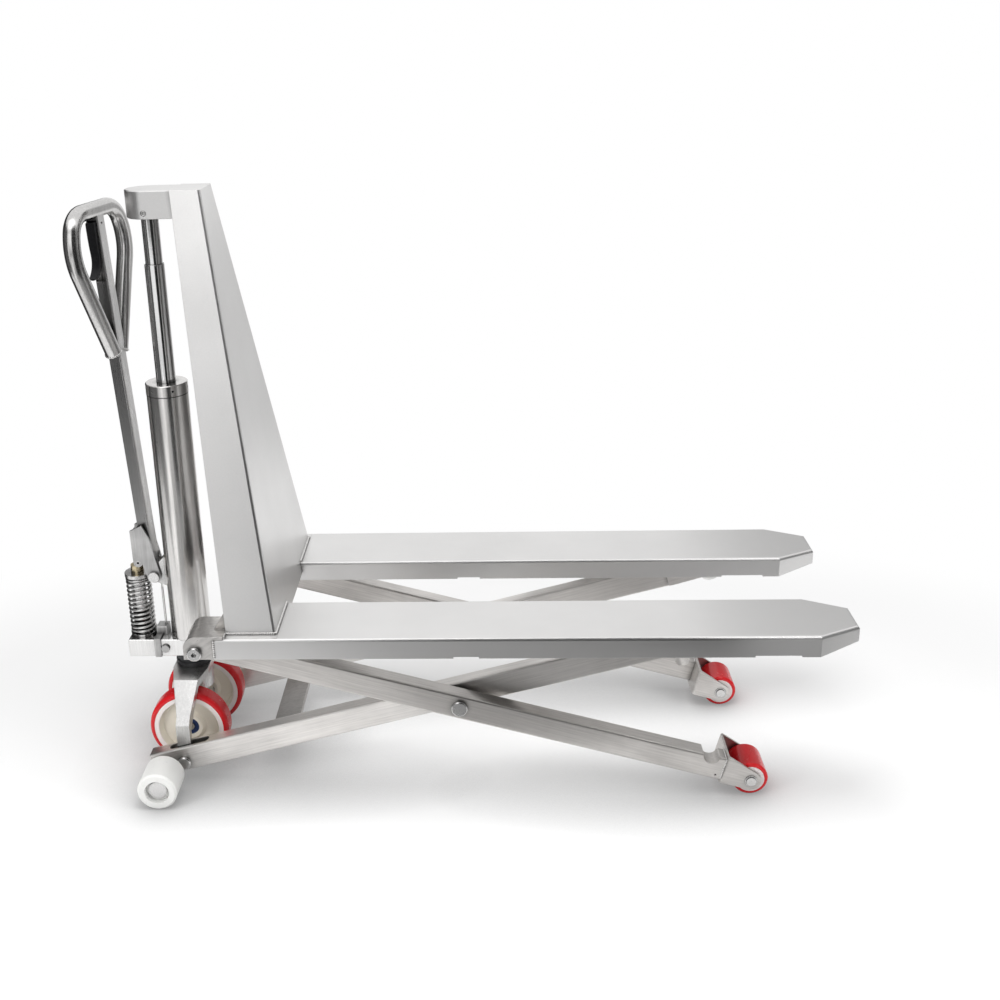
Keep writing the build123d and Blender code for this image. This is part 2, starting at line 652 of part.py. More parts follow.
# Roller brackets: a back plate across the leg's end and two cheeks that hold the load axle
def roller_bracket():
    axle = in_leg(LOAD_AXLE, OUTER_SLOPE)
    plate_end = BRACKET_BACK + BRACKET_CHEEK
    half = BRACKET_HEIGHT / 2
    cheek = make_hull(
        (
            Pos((BRACKET_BACK + plate_end) / 2, 0) * Rectangle(BRACKET_CHEEK, BRACKET_HEIGHT)
            + Pos(*axle) * Circle(BRACKET_NOSE_RADIUS)
        ).edges()
    )
    shape = side_plate(cheek, BRACKET_IN, OUTER_LEG_OUT)
    inside = block(
        plate_end, axle[0] + 2 * BRACKET_NOSE_RADIUS, BRACKET_IN + BRACKET_CHEEK,
        OUTER_LEG_OUT - BRACKET_CHEEK, -BRACKET_HEIGHT, BRACKET_HEIGHT,
    )
    shape -= inside
    rear = shape.edges().filter_by(Axis.Z).group_by(Axis.X)[0]
    shape = fillet(rear, BRACKET_BEND)
    shape -= bar(axle, 0, FORKS_OVERALL, LOAD_AXLE_DIA + PIN_CLEARANCE * 2)
    return leg_frame(OUTER_SLOPE) * shape


pair("roller_bracket", roller_bracket())
nodes["load_axles"] = Compound(both(
    bar(LOAD_AXLE, BRACKET_IN - AXLE_PROUD, OUTER_LEG_OUT + AXLE_PROUD, LOAD_AXLE_DIA)
))


# Snap rings that keep each load axle between its cheeks, open at the bottom
def axle_rings():
    snap = ring(CLIP_RING_DIA, LOAD_AXLE_DIA + PIN_CLEARANCE * 2, 0, CLIP_RING_THICK)
    mouth = Pos(0, CLIP_RING_DIA / 2, CLIP_RING_THICK / 2)
    snap -= mouth * Box(CLIP_RING_MOUTH, CLIP_RING_DIA, CLIP_RING_THICK)
    places = (OUTER_LEG_OUT, BRACKET_IN - CLIP_RING_THICK)
    return [solid for y in places for solid in both(across(snap, (LOAD_AXLE[0], LOAD_AXLE[1]), y))]


nodes["axle_rings"] = Compound(axle_rings())


# Load rollers: a soft tyre on a rigid core
def load_roller():
    core_dia = LOAD_ROLLER_DIA - 2 * LOAD_TYRE_WALL
    bore = LOAD_AXLE_DIA + RUN_CLEARANCE * 2
    core = across(ring(core_dia, bore, ROLLER_IN, ROLLER_OUT), LOAD_AXLE, 0)
    edge = LOAD_TYRE_WALL / 3
    radius = LOAD_ROLLER_DIA / 2
    tyre = turned([
        (core_dia / 2, ROLLER_IN + ROLLER_SIDE_GAP), (radius - edge, ROLLER_IN + ROLLER_SIDE_GAP),
        (radius, ROLLER_IN + ROLLER_SIDE_GAP + edge), (radius, ROLLER_OUT - ROLLER_SIDE_GAP - edge),
        (radius - edge, ROLLER_OUT - ROLLER_SIDE_GAP), (core_dia / 2, ROLLER_OUT - ROLLER_SIDE_GAP),
    ])
    return core, across(tyre, LOAD_AXLE, 0)


load_core, load_tyre = load_roller()
pair("load_core", load_core)
pair("load_tyre", load_tyre)


# Inner legs: from the straps of the bridge up to the slide rollers under the forks
def inner_leg():
    strap = in_leg(STRAP_PIVOT, -INNER_SLOPE)
    axle = in_leg(STABILISER_AXLE, -INNER_SLOPE)
    tail = strap[0] - INNER_LEG_TAIL
    low = INNER_LEG_OFFSET - INNER_LEG_HEIGHT / 2
    outer, hollow = leg_tube(
        tail, INNER_LEG_REACH, INNER_LEG_OFFSET, INNER_LEG_IN, INNER_LEG_OUT, INNER_LEG_HEIGHT
    )
    slot = block(
        strap[0] - STRAP_SLOT_BACK, strap[0] + STRAP_SLOT_AHEAD,
        INNER_LEG_Y - STRAP_SLOT_WIDTH / 2, INNER_LEG_Y + STRAP_SLOT_WIDTH / 2,
        INNER_LEG_OFFSET, INNER_LEG_OFFSET + INNER_LEG_HEIGHT / 2,
    )
    slot = fillet(slot.edges().filter_by(Axis.Z), STRAP_SLOT_WIDTH / 2 - PIN_CLEARANCE)
    heel = make_face(Polyline(
        (tail, low), (tail + TAIL_CHAMFER, low), (tail, low + TAIL_CHAMFER), close=True,
    ))
    shape = outer - hollow - slot - side_plate(heel, INNER_LEG_IN, INNER_LEG_OUT)
    for hole in (strap, (0, 0), axle):
        shape -= bar(hole, INNER_LEG_IN, INNER_LEG_OUT, PIN_DIA + PIN_CLEARANCE * 2)
    return leg_frame(-INNER_SLOPE) * shape


pair("inner_leg", inner_leg())
strap_local = in_leg(STRAP_PIVOT, -INNER_SLOPE)
nodes["leg_cross_plate"] = leg_frame(-INNER_SLOPE) * block(
    strap_local[0] + CROSS_PLATE_AHEAD - CROSS_PLATE_WIDTH / 2,
    strap_local[0] + CROSS_PLATE_AHEAD + CROSS_PLATE_WIDTH / 2,
    -INNER_LEG_IN, INNER_LEG_IN,
    CROSS_PLATE_LIFT - CROSS_PLATE_THICK / 2, CROSS_PLATE_LIFT + CROSS_PLATE_THICK / 2,
)
nodes["centre_bolts"] = Compound(both(eased_head(stepped_pin(CENTRE, [
    (INNER_LEG_IN - PIN_HEAD_THICK, PIN_HEAD_DIA), (INNER_LEG_IN - RUN_CLEARANCE, PIN_DIA),
    (INNER_LEG_OUT + RUN_CLEARANCE, PIN_HEAD_DIA), (OUTER_LEG_IN - RUN_CLEARANCE, PIN_DIA),
    (OUTER_LEG_OUT, CENTRE_HEAD_DIA), (OUTER_LEG_OUT + PIN_HEAD_THICK, 0),
]))))


# Slide arms: cranked plates on the inner legs that carry the slide rollers past the brackets
def slide_arm():
    roller = in_leg(SLIDE_PIVOT, -INNER_SLOPE)
    tail = INNER_LEG_REACH - SLIDE_ARM_LAP
    plate = make_hull(
        (
            Pos(tail + SLIDE_ARM_HEIGHT / 4, INNER_LEG_OFFSET)
            * Rectangle(SLIDE_ARM_HEIGHT / 2, SLIDE_ARM_HEIGHT)
            + Pos(*roller) * Circle(SLIDE_ARM_HEIGHT / 2)
        ).edges()
    )
    shape = side_plate(plate, SLIDE_ARM_IN, SLIDE_ARM_OUT)
    shape += block(
        tail, INNER_LEG_REACH, SLIDE_ARM_OUT, INNER_LEG_IN,
        INNER_LEG_OFFSET - SLIDE_ARM_HEIGHT / 2, INNER_LEG_OFFSET + SLIDE_ARM_HEIGHT / 2,
    )
    shape += bar(roller, SLIDE_ROLLER_IN, SLIDE_ARM_IN, SLIDE_PIN_DIA)
    return leg_frame(-INNER_SLOPE) * shape


pair("slide_arm", slide_arm())
slide_bore = SLIDE_PIN_DIA + RUN_CLEARANCE * 2
slide_ring = ring(SLIDE_ROLLER_DIA, slide_bore, SLIDE_ROLLER_IN, SLIDE_ROLLER_OUT)
pair("slide_roller", across(slide_ring, SLIDE_PIVOT, 0))


# Stabiliser rollers: white rollers on stub axles behind the inner legs
def stabiliser_roller():
    bore = STABILISER_AXLE_DIA / 2 + RUN_CLEARANCE
    recess = STABILISER_RECESS_DIA / 2
    radius = STABILISER_DIA / 2
    edge = STABILISER_EDGE
    return across(turned([
        (bore, STABILISER_IN), (radius - edge, STABILISER_IN), (radius, STABILISER_IN + edge),
        (radius, STABILISER_OUT - edge), (radius - edge, STABILISER_OUT),
        (recess, STABILISER_OUT), (recess, STABILISER_OUT - STABILISER_RECESS),
        (bore, STABILISER_OUT - STABILISER_RECESS),
    ]), STABILISER_AXLE, 0)


def stabiliser_axle():
    cap_in = STABILISER_OUT - STABILISER_RECESS + RUN_CLEARANCE
    return stepped_pin(STABILISER_AXLE, [
        (INNER_LEG_IN - PIN_HEAD_THICK, PIN_HEAD_DIA), (INNER_LEG_IN, STABILISER_AXLE_DIA),
        (INNER_LEG_OUT, PIN_HEAD_DIA), (STABILISER_IN - RUN_CLEARANCE, STABILISER_AXLE_DIA),
        (cap_in, STABILISER_CAP_DIA), (cap_in + STABILISER_CAP_THICK, 0),
    ])


pair("stabiliser_roller", stabiliser_roller())
nodes["stabiliser_axles"] = Compound(both(stabiliser_axle()))


# Steering bridge: a yoke over the wheels whose straps hang into the inner legs
def steer_bridge():
    inner = INNER_LEG_Y - STRAP_THICK / 2
    outer = INNER_LEG_Y + STRAP_THICK / 2
    under = BRIDGE_TOP - BRIDGE_THICK
    shoulder = BRIDGE_TOP - BRIDGE_SHOULDER_DROP
    foot = STRAP_PIVOT[1]
    half = make_face(Polyline(
        (0, BRIDGE_TOP), (BRIDGE_ARM_FLAT, BRIDGE_TOP), (outer, shoulder), (outer, foot),
        (inner, foot), (inner, shoulder - BRIDGE_THICK), (BRIDGE_ARM_FLAT, under), (0, under),
        close=True,
    ))
    yoke = half + mirror(half, about=Plane.YZ)
    yoke = Pos(KING_X - BRIDGE_WIDTH, 0, 0) * extrude(Plane.YZ * yoke, amount=2 * BRIDGE_WIDTH)
    waist = COLLAR_DIA / 2
    hip = BRIDGE_WIDTH / 2
    lean = STRAP_PIVOT_X - KING_X
    plan = make_face(Polyline(
        (hip, -waist), (hip, waist), (lean + STRAP_WIDTH / 2, inner),
        (lean + STRAP_WIDTH / 2, outer), (lean - STRAP_WIDTH / 2, outer),
        (lean - STRAP_WIDTH / 2, inner), (-hip, waist), (-hip, -waist),
        (lean - STRAP_WIDTH / 2, -inner), (lean - STRAP_WIDTH / 2, -outer),
        (lean + STRAP_WIDTH / 2, -outer), (lean + STRAP_WIDTH / 2, -inner), close=True,
    ))
    shape = yoke & (Pos(KING_X, 0, 0) * extrude(plan, amount=BRIDGE_TOP))
    shape += post(KING_X, 0, BRIDGE_TOP - COLLAR_HEIGHT, BRIDGE_TOP, COLLAR_DIA)
    for side in (-1, 1):
        ends = sorted((side * inner, side * outer))
        shape += bar(STRAP_PIVOT, *ends, STRAP_WIDTH)
        shape -= bar(STRAP_PIVOT, *ends, PIN_DIA + PIN_CLEARANCE * 2)
    return shape - post(KING_X, 0, 0, SHIELD_TOP, KING_DIA + PIN_CLEARANCE * 2)


nodes["steer_bridge"] = steer_bridge()
nodes["strap_bolts"] = Compound(both(eased_head(stepped_pin(STRAP_PIVOT, [
    (INNER_LEG_IN - PIN_HEAD_THICK, PIN_HEAD_DIA), (INNER_LEG_IN - RUN_CLEARANCE, PIN_DIA),
    (INNER_LEG_OUT + RUN_CLEARANCE, PIN_HEAD_DIA), (INNER_LEG_OUT + PIN_HEAD_THICK, 0),
]))))


# Thrust bearing: the dark stepped washer pack that the steering turns on
def thrust_bearing():
    bore = KING_DIA / 2 + PIN_CLEARANCE
    rim = THRUST_DIA / 2
    waist = rim - THRUST_HEIGHT / 10
    third = THRUST_HEIGHT / 3
    top = BLOCK_FLOOR - PIN_CLEARANCE
    return Pos(KING_X, 0, 0) * turned([
        (bore, BRIDGE_TOP), (rim, BRIDGE_TOP), (rim, BRIDGE_TOP + third),
        (waist, BRIDGE_TOP + third), (waist, top - third), (rim, top - third), (rim, top),
        (bore, top),
    ])


nodes["thrust_bearing"] = thrust_bearing()


# Steering column: king pin with the boss of the wheel axle
def king_pin():
    axle = (KING_X, WHEEL_DIA / 2)
    boss_half = WHEEL_INNER - ROLLER_SIDE_GAP
    half = AXLE_BOSS_WIDTH / 2
    boss = block(
        KING_X - half, KING_X + half, -boss_half, boss_half,
        axle[1] - AXLE_BOSS_HEIGHT / 2, axle[1] + AXLE_BOSS_HEIGHT / 2,
    )
    boss = fillet(boss.edges().filter_by(Axis.Y), half / 2)
    shape = post(KING_X, 0, axle[1], BLOCK_FLOOR, KING_DIA) + boss
    return shape - bar(axle, -WHEEL_OUT, WHEEL_OUT, WHEEL_AXLE_DIA)


WHEEL_AXLE = (KING_X, WHEEL_DIA / 2)
nodes["king_pin"] = king_pin()
nodes["wheel_axle"] = bar(WHEEL_AXLE, -HUB_OUT, HUB_OUT, WHEEL_AXLE_DIA)


# Steering wheels: rounded tyre, dished rim with hub, and a sealed bearing in each hub
def steering_wheel():
    radius = WHEEL_DIA / 2
    seat = radius - TYRE_WALL
    hub = HUB_DIA / 2
    bearing = WHEEL_BEARING_DIA / 2
    middle = (WHEEL_INNER + WHEEL_OUT) / 2
    hub_in = WHEEL_INNER + HUB_SETBACK
    edge = WHEEL_SHOULDER
    section = make_face(
        Polyline(
            (radius, WHEEL_INNER + edge), (radius, WHEEL_OUT - edge)
        )
        + RadiusArc((radius, WHEEL_OUT - edge), (radius - edge, WHEEL_OUT), -edge)
        + Polyline(
            (radius - edge, WHEEL_OUT), (seat, WHEEL_OUT), (seat, WHEEL_INNER),
            (radius - edge, WHEEL_INNER),
        )
        + RadiusArc((radius - edge, WHEEL_INNER), (radius, WHEEL_INNER + edge), -edge)
    )
    tyre = revolve(Plane.XZ * section, Axis.Z)
    dish = RIM_WEB / 2
    rim = turned([
        (bearing, hub_in), (hub, hub_in), (hub + dish, middle - dish),
        (seat - RIM_LIP - dish, middle - dish), (seat - RIM_LIP, WHEEL_INNER), (seat, WHEEL_INNER),
        (seat, WHEEL_OUT), (seat - RIM_LIP, WHEEL_OUT), (seat - RIM_LIP - dish, middle + dish),
        (hub + dish, middle + dish), (hub, HUB_OUT), (bearing, HUB_OUT),
    ])
    bore = WHEEL_AXLE_DIA + RUN_CLEARANCE * 2
    seal = WHEEL_SHOULDER / 3
    race = ring(WHEEL_BEARING_DIA, bore, hub_in + seal, HUB_OUT - seal)
    return [across(shape, WHEEL_AXLE, 0) for shape in (tyre, rim, race)]


for wheel_name, wheel_shape in zip(("steer_tyre", "steer_rim", "wheel_bearings"), steering_wheel()):
    pair(wheel_name, wheel_shape)


# Pump block: the flat block under the ram that carries the pump and the valve
def pump_block():
    plan = Circle(BLOCK_WIDTH / 2) + Pos(-BLOCK_REACH / 2, 0) * Rectangle(BLOCK_REACH, BLOCK_WIDTH)
    shape = Pos(KING_X, 0, BLOCK_FLOOR) * extrude(plan, amount=BLOCK_HEIGHT)
    rims = shape.edges().group_by(Axis.Z)
    return chamfer(rims[0] + rims[-1], BLOCK_EDGE)


nodes["pump_block"] = pump_block()
nodes["ram_barrel"] = Pos(KING_X, 0, 0) * turned([
    (0, BLOCK_TOP), (BARREL_DIA / 2, BLOCK_TOP), (BARREL_DIA / 2, BARREL_TOP - GLAND_HEIGHT),
    (BARREL_BORE / 2, BARREL_TOP - GLAND_HEIGHT), (BARREL_BORE / 2, BLOCK_TOP + BARREL_FLOOR),
    (0, BLOCK_TOP + BARREL_FLOOR),
])


# Barrel gland: the screwed ring that guides the ram tube, with holes for a pin spanner
def barrel_gland():
    z0 = BARREL_TOP - GLAND_HEIGHT
    outer = BARREL_DIA / 2 + GLAND_STEP
    bore = TUBE_DIA / 2 + RUN_CLEARANCE
    edge = GLAND_STEP * 3
    shape = turned([
        (bore, z0), (outer, z0), (outer, BARREL_TOP - edge), (outer - edge, BARREL_TOP),
        (bore, BARREL_TOP),
    ])
    drill = Rot(0, 90, 0) * Cylinder(GLAND_HOLE_DIA / 2, BARREL_DIA / 4)
    for index in range(GLAND_HOLE_COUNT):
        turn = 360 / GLAND_HOLE_COUNT * index
        shape -= Rot(0, 0, turn) * Pos(outer, 0, z0 + GLAND_HEIGHT / 2) * drill
    return Pos(KING_X, 0, 0) * shape


nodes["barrel_gland"] = barrel_gland()
nodes["ram_tube"] = Pos(KING_X, 0, 0) * ring(TUBE_DIA, TUBE_BORE, TUBE_FOOT, TUBE_TOP)


# Pump: a short cylinder with the spring seat, and the plunger with its cap
def pump_cylinder():
    bore = PLUNGER_DIA / 2 + RUN_CLEARANCE
    body = PUMP_CYLINDER_DIA / 2
    seat = SPRING_SEAT_DIA / 2
    seat_top = BLOCK_TOP + SPRING_SEAT_THICK
    top = BLOCK_TOP + PUMP_CYLINDER_HEIGHT
    return Pos(PUMP_X, 0, 0) * turned([
        (0, BLOCK_TOP), (seat, BLOCK_TOP), (seat, seat_top), (body, seat_top), (body, top),
        (bore, top), (bore, seat_top), (0, seat_top),
    ])


PLUNGER_STROKE = 2 * PUMP_ARM_BACK * math.sin(math.radians(45)) * 1.06
PLUNGER_FOOT = BLOCK_TOP + SPRING_SEAT_THICK + PLUNGER_STROKE + RUN_CLEARANCE
nodes["pump_cylinder"] = pump_cylinder()
nodes["pump_plunger"] = Pos(PUMP_X, 0, 0) * turned([
    (0, PLUNGER_FOOT), (PLUNGER_DIA / 2, PLUNGER_FOOT), (PLUNGER_DIA / 2, CAP_TOP - CAP_THICK),
    (CAP_DIA / 2, CAP_TOP - CAP_THICK), (CAP_DIA / 2, CAP_TOP), (PLUNGER_DIA / 2, CAP_TOP),
    (PLUNGER_DIA / 2, BUTTON_TOP), (0, BUTTON_TOP),
])


# Pump spring: one wire wound as a helix, laid out as pairs of tangent arcs for each half turn
def pump_spring():
    radius = (SPRING_OUTER_DIA - SPRING_WIRE) / 2
    z0 = BLOCK_TOP + SPRING_SEAT_THICK + SPRING_WIRE / 2 + SPRING_END_GAP
    z1 = CAP_TOP - CAP_THICK - SPRING_WIRE / 2 - SPRING_END_GAP
    climb = (z1 - z0) / (2 * math.pi * SPRING_TURNS)
    steep = math.hypot(radius, climb)

    def on_helix(angle):
        place = Vector(
            PUMP_X + radius * math.cos(angle), radius * math.sin(angle), z0 + climb * angle
        )
        heading = Vector(
            -radius * math.sin(angle) / steep, radius * math.cos(angle) / steep, climb / steep
        )
        return place, heading

    arcs = []
    start, heading = on_helix(0)
    lead_in = Line(start - heading * SPRING_WIRE, start)
    for half_turn in range(2 * SPRING_TURNS):
        p0, t0 = on_helix(math.pi * half_turn)
        p1, t1 = on_helix(math.pi * (half_turn + 1))
        v = p1 - p0
        t = t0 + t1
        bend = 2 * (1 - t0.dot(t1))
        d = (-v.dot(t) + math.sqrt(v.dot(t) ** 2 + bend * v.dot(v))) / bend
        join = (p0 + p1 + (t0 - t1) * d) * 0.5
        turn = (p1 - t1 * d) - (p0 + t0 * d)
        arcs.append(TangentArc(p0, join, tangent=t0))
        arcs.append(TangentArc(join, p1, tangent=turn))
    end, heading_out = on_helix(2 * math.pi * SPRING_TURNS)
    lead_out = Line(end, end + heading_out * SPRING_WIRE)
    path = Wire([lead_in, *arcs, lead_out])
    section = Plane(origin=lead_in @ 0, z_dir=heading) * Circle(SPRING_WIRE / 2)
    coil = sweep(section, path=path)

    samples = [arc @ (step / 8) for arc in arcs for step in range(8)]
    one_turn = 4 * 8
    least = min(
        (a - b).length
        for i, a in enumerate(samples)
        for b in samples[i + one_turn // 2:i + 2 * one_turn]
    )
    print("spring gap to itself", round(least - SPRING_WIRE, 2))
    print("spring volume share", round(coil.volume / (section.area * path.length), 4))
    return coil


nodes["pump_spring"] = pump_spring()


# Release valve with its clip and plug on the side of the pump block
def release_valve():
    half = VALVE_LENGTH / 2
    body = block(
        VALVE_X - half, VALVE_X + half, -VALVE_WIDTH / 2, VALVE_WIDTH / 2,
        BLOCK_TOP, BLOCK_TOP + VALVE_HEIGHT,
    )
    body = chamfer(body.edges().group_by(Axis.Z)[-1], BLOCK_EDGE)
    well = post(
        RELEASE_X, 0, BLOCK_TOP + VALVE_HEIGHT - RELEASE_ROD_SUNK - RUN_CLEARANCE,
        BLOCK_TOP + VALVE_HEIGHT, RELEASE_ROD_DIA + RUN_CLEARANCE * 2,
    )
    return body - well


def valve_clip():
    near = -BLOCK_WIDTH / 2
    x0 = VALVE_X - VALVE_LENGTH / 2
    x1 = x0 + CLIP_WIDTH
    flap = block(x0, x1, near - CLIP_THICK, near, BLOCK_FLOOR, BLOCK_TOP + CLIP_THICK)
    tab = block(x0, x1, near, -VALVE_WIDTH / 2, BLOCK_TOP, BLOCK_TOP + CLIP_THICK)
    plug = bar(
        (x1 + PLUG_DIA / 2 + 1, (BLOCK_FLOOR + BLOCK_TOP) / 2), near - PLUG_PROUD, near, PLUG_DIA
    )
    return [*(flap + tab).solids(), plug.solid()]


nodes["release_valve"] = release_valve()
nodes["valve_clip"] = Compound(valve_clip())
rod_foot = BLOCK_TOP + VALVE_HEIGHT - RELEASE_ROD_SUNK
nodes["release_rod"] = post(RELEASE_X, 0, rod_foot, rod_foot + RELEASE_ROD_HEIGHT, RELEASE_ROD_DIA)


# Handle lugs: two plates on the ram barrel that hold the pivot of the pump handle
def handle_lugs():
    root_x = KING_X - BARREL_DIA / 2 + LUG_PLATE
    outline = make_hull(
        (
            Pos(*HANDLE_PIVOT) * Circle(CLEVIS_EYE - 1)
            + Pos(root_x, HANDLE_PIVOT_Z + (LUG_HIGH - LUG_LOW) / 2)
            * Rectangle(LUG_PLATE, LUG_HIGH + LUG_LOW)
        ).edges()
    )
    plate = side_plate(outline, LUG_INNER, LUG_INNER + LUG_PLATE)
    plate -= post(KING_X, 0, BLOCK_TOP, BARREL_TOP, BARREL_DIA)
    return both(plate - bar(HANDLE_PIVOT, 0, BLOCK_WIDTH, PIVOT_BOLT_DIA + PIN_CLEARANCE * 2))


nodes["handle_lugs"] = Compound(handle_lugs())
head_at = CLEVIS_OUT + RUN_CLEARANCE
nodes["handle_pivot_bolt"] = stepped_pin(HANDLE_PIVOT, [
    (-head_at - CLEVIS_PLATE, PIVOT_BOLT_HEAD), (-head_at, PIVOT_BOLT_DIA),
    (head_at, PIVOT_BOLT_HEAD), (head_at + CLEVIS_PLATE, 0),
])


# Pump handle: clevis, square shaft and closed loop, the shaft turned a little in the clevis
def handle_clevis():
    top = (HANDLE_PIVOT[0] - CLEVIS_TOP_BACK, HANDLE_PIVOT[1] + CLEVIS_TOP_RISE)
    crown = Pos(*top) * Rot(0, 0, CLEVIS_TOP_SLANT) * Rectangle(2 * CLEVIS_EYE, 2 * CLEVIS_EYE)
    eye = Pos(*HANDLE_PIVOT) * Circle(CLEVIS_EYE)
    roller_eye = Pos(*PUMP_ROLLER) * Circle(ROLLER_EYE)
    outline = make_hull((crown + eye).edges()) + make_hull((crown + roller_eye).edges())
    shape = side_plate(outline, -CLEVIS_OUT, CLEVIS_OUT)
    gap = make_face(Polyline(
        (top[0] - 6 * CLEVIS_EYE, HANDLE_PIVOT[1] - 6 * CLEVIS_EYE),
        (top[0] + 6 * CLEVIS_EYE, HANDLE_PIVOT[1] - 6 * CLEVIS_EYE),
        (top[0] + 6 * CLEVIS_EYE, top[1] + 6 * CLEVIS_EYE),
        (top[0] - 6 * CLEVIS_EYE, top[1] + 6 * CLEVIS_EYE), close=True,
    ))
    web = block(
        top[0] - CLEVIS_EYE, top[0] - CLEVIS_EYE + CLEVIS_WEB, -CLEVIS_IN, CLEVIS_IN,
        top[1] - CLEVIS_WEB_HEIGHT * 3 / 4, top[1] + CLEVIS_WEB_HEIGHT / 4,
    )
    shape -= side_plate(gap, -CLEVIS_IN, CLEVIS_IN)
    shape += web
    shape -= bar(HANDLE_PIVOT, -BLOCK_WIDTH, BLOCK_WIDTH, PIVOT_BOLT_DIA + PIN_CLEARANCE * 2)
    return shape - bar(PUMP_ROLLER, -BLOCK_WIDTH, BLOCK_WIDTH, PUMP_PIN_DIA)


def handle_frame():
    """Frame beside the handle pivot: Z up the shaft, X towards the forks, turned by the twist."""
    foot = Pos(HANDLE_PIVOT[0] - SHAFT_SETBACK, 0, HANDLE_PIVOT[1])
    return foot * Rot(0, -HANDLE_LEAN, 0) * Rot(0, 0, -HANDLE_TWIST)


def handle_loop_path():
    points = [
        (LOOP_JUNCTION_HALF, LOOP_JUNCTION), (LOOP_SHOULDER_HALF, LOOP_SHOULDER),
        (LOOP_TOP_HALF, LOOP_TOP), (-LOOP_TOP_HALF, LOOP_TOP),
        (-LOOP_SHOULDER_HALF, LOOP_SHOULDER), (-LOOP_JUNCTION_HALF, LOOP_JUNCTION),
    ]
    wide = LOOP_SHOULDER_BEND * LOOP_CROWN
    tight = LOOP_TOP_BEND * LOOP_CROWN
    return Plane.YZ * FilletPolyline(*points, radius=[wide, tight, tight, wide])


def pin_through(length, diameter):
    """Round bar through the shaft at the trigger's pivot, in the frame of the handle."""
    return Pos(0, 0, TRIGGER_PIVOT) * (Rot(0, 90, 0) * Cylinder(diameter / 2, length))


def handle():
    path = handle_loop_path()
    start = Plane(origin=path @ 0, z_dir=path % 0)
    tube = sweep(start * Circle(LOOP_DIA / 2), path=path)
    bore = sweep(start * Circle(LOOP_DIA / 2 - LOOP_WALL), path=path)
    half = SHAFT_SIDE / 2
    post_shape = block(-half, half, -half, half, SHAFT_START, LOOP_TOP)
    post_shape = fillet(post_shape.edges().filter_by(Axis.Z), SHAFT_WALL)
    inner = half - SHAFT_WALL
    hollow = block(-inner, inner, -inner, inner, SHAFT_START, LOOP_TOP)
    loop = tube - bore - block(-half, half, -half, half, SHAFT_START, LOOP_TOP - LOOP_DIA / 2)
    top_bar = bar((0, LOOP_TOP), -SHAFT_SIDE, SHAFT_SIDE, LOOP_DIA)
    shaft = post_shape - hollow - top_bar
    shaft -= pin_through(SHAFT_SIDE, TRIGGER_PIN_DIA)
    slot_top = TRIGGER_PIVOT + TRIGGER_HUB_DIA / 2 + RUN_CLEARANCE
    shaft -= block(-inner, inner, -half, 0, slot_top - TRIGGER_SLOT_LENGTH, slot_top)
    frame = handle_frame()
    return [frame * piece.solids().sort_by(SortBy.VOLUME)[-1] for piece in (shaft, loop)]


nodes["handle_clevis"] = handle_clevis()
nodes["handle_shaft"], nodes["handle_loop"] = handle()
nodes["pump_roller_pin"] = bar(PUMP_ROLLER, -CLEVIS_OUT, CLEVIS_OUT, PUMP_PIN_DIA) - bar(
    PUMP_ROLLER, -CLEVIS_OUT, CLEVIS_OUT, PUMP_PIN_BORE
)
pump_ring = ring(
    PUMP_ROLLER_DIA, PUMP_PIN_DIA + RUN_CLEARANCE * 2, -PUMP_ROLLER_WIDTH / 2, PUMP_ROLLER_WIDTH / 2
)
nodes["pump_roller"] = across(pump_ring, PUMP_ROLLER, 0)


# Release trigger: a curved lever beside the shaft, its hub on a pin inside a slot of the shaft
def release_trigger():
    low = TRIGGER_PIVOT - TRIGGER_LENGTH
    face = -SHAFT_SIDE / 2
    root = (face - TRIGGER_STANDOFF - TRIGGER_THICK / 2, TRIGGER_PIVOT)
    knee = (root[0] - TRIGGER_STANDOFF / 2, TRIGGER_PIVOT - TRIGGER_LENGTH / 5)
    crook = (root[0], TRIGGER_PIVOT - TRIGGER_LENGTH * 0.55)
    drop = Line(root, knee)
    swing = TangentArc(drop @ 1, crook, tangent=drop % 1)
    hook = TangentArc(swing @ 1, (-TRIGGER_TIP_OUT, low), tangent=swing % 1)
    blade = trace(drop + swing + hook, line_width=TRIGGER_THICK)
    tongue = make_hull(
        (
            Pos(0, TRIGGER_PIVOT) * Circle(TRIGGER_HUB_DIA / 2)
            + Pos(*root) * Circle(TRIGGER_THICK / 2)
        ).edges()
    )
    lever = extrude(Plane.YZ * (blade + tongue), amount=TRIGGER_WIDTH, both=True)
    tip = TRIGGER_TIP_WIDTH / 2
    outline = make_hull(
        (
            Pos(0, TRIGGER_PIVOT) * Rectangle(TRIGGER_WIDTH, TRIGGER_HUB_DIA)
            + Pos(0, low + tip) * Circle(tip)
        ).edges()
    )
    lever &= side_plate(outline, -2 * TRIGGER_TIP_OUT, TRIGGER_TIP_OUT)
    return handle_frame() * (lever - pin_through(SHAFT_SIDE, TRIGGER_PIN_DIA + 2 * PIN_CLEARANCE))


def trigger_pin():
    return handle_frame() * pin_through(SHAFT_SIDE - 2 * TRIGGER_PIN_SUNK, TRIGGER_PIN_DIA)


nodes["release_trigger"] = release_trigger()
nodes["trigger_pin"] = trigger_pin()

# Origin under the middle of the truck's length, on the floor
rearmost = min(shape.bounding_box().min.X for shape in nodes.values())
foremost = max(shape.bounding_box().max.X for shape in nodes.values())
ORIGIN_X = (rearmost + foremost) / 2

if __name__ == "__main__":
    os.makedirs("parts", exist_ok=True)
    for name, shape in nodes.items():
        export_step(Pos(-ORIGIN_X, 0, 0) * shape, f"parts/{name}.step")
    print("nodes", len(nodes), "origin at x", round(ORIGIN_X, 2))
    print("lift range", round(LIFT_MIN, 2), round(LIFT_MAX, 2), "leg ratio", round(LEG_RATIO, 5))
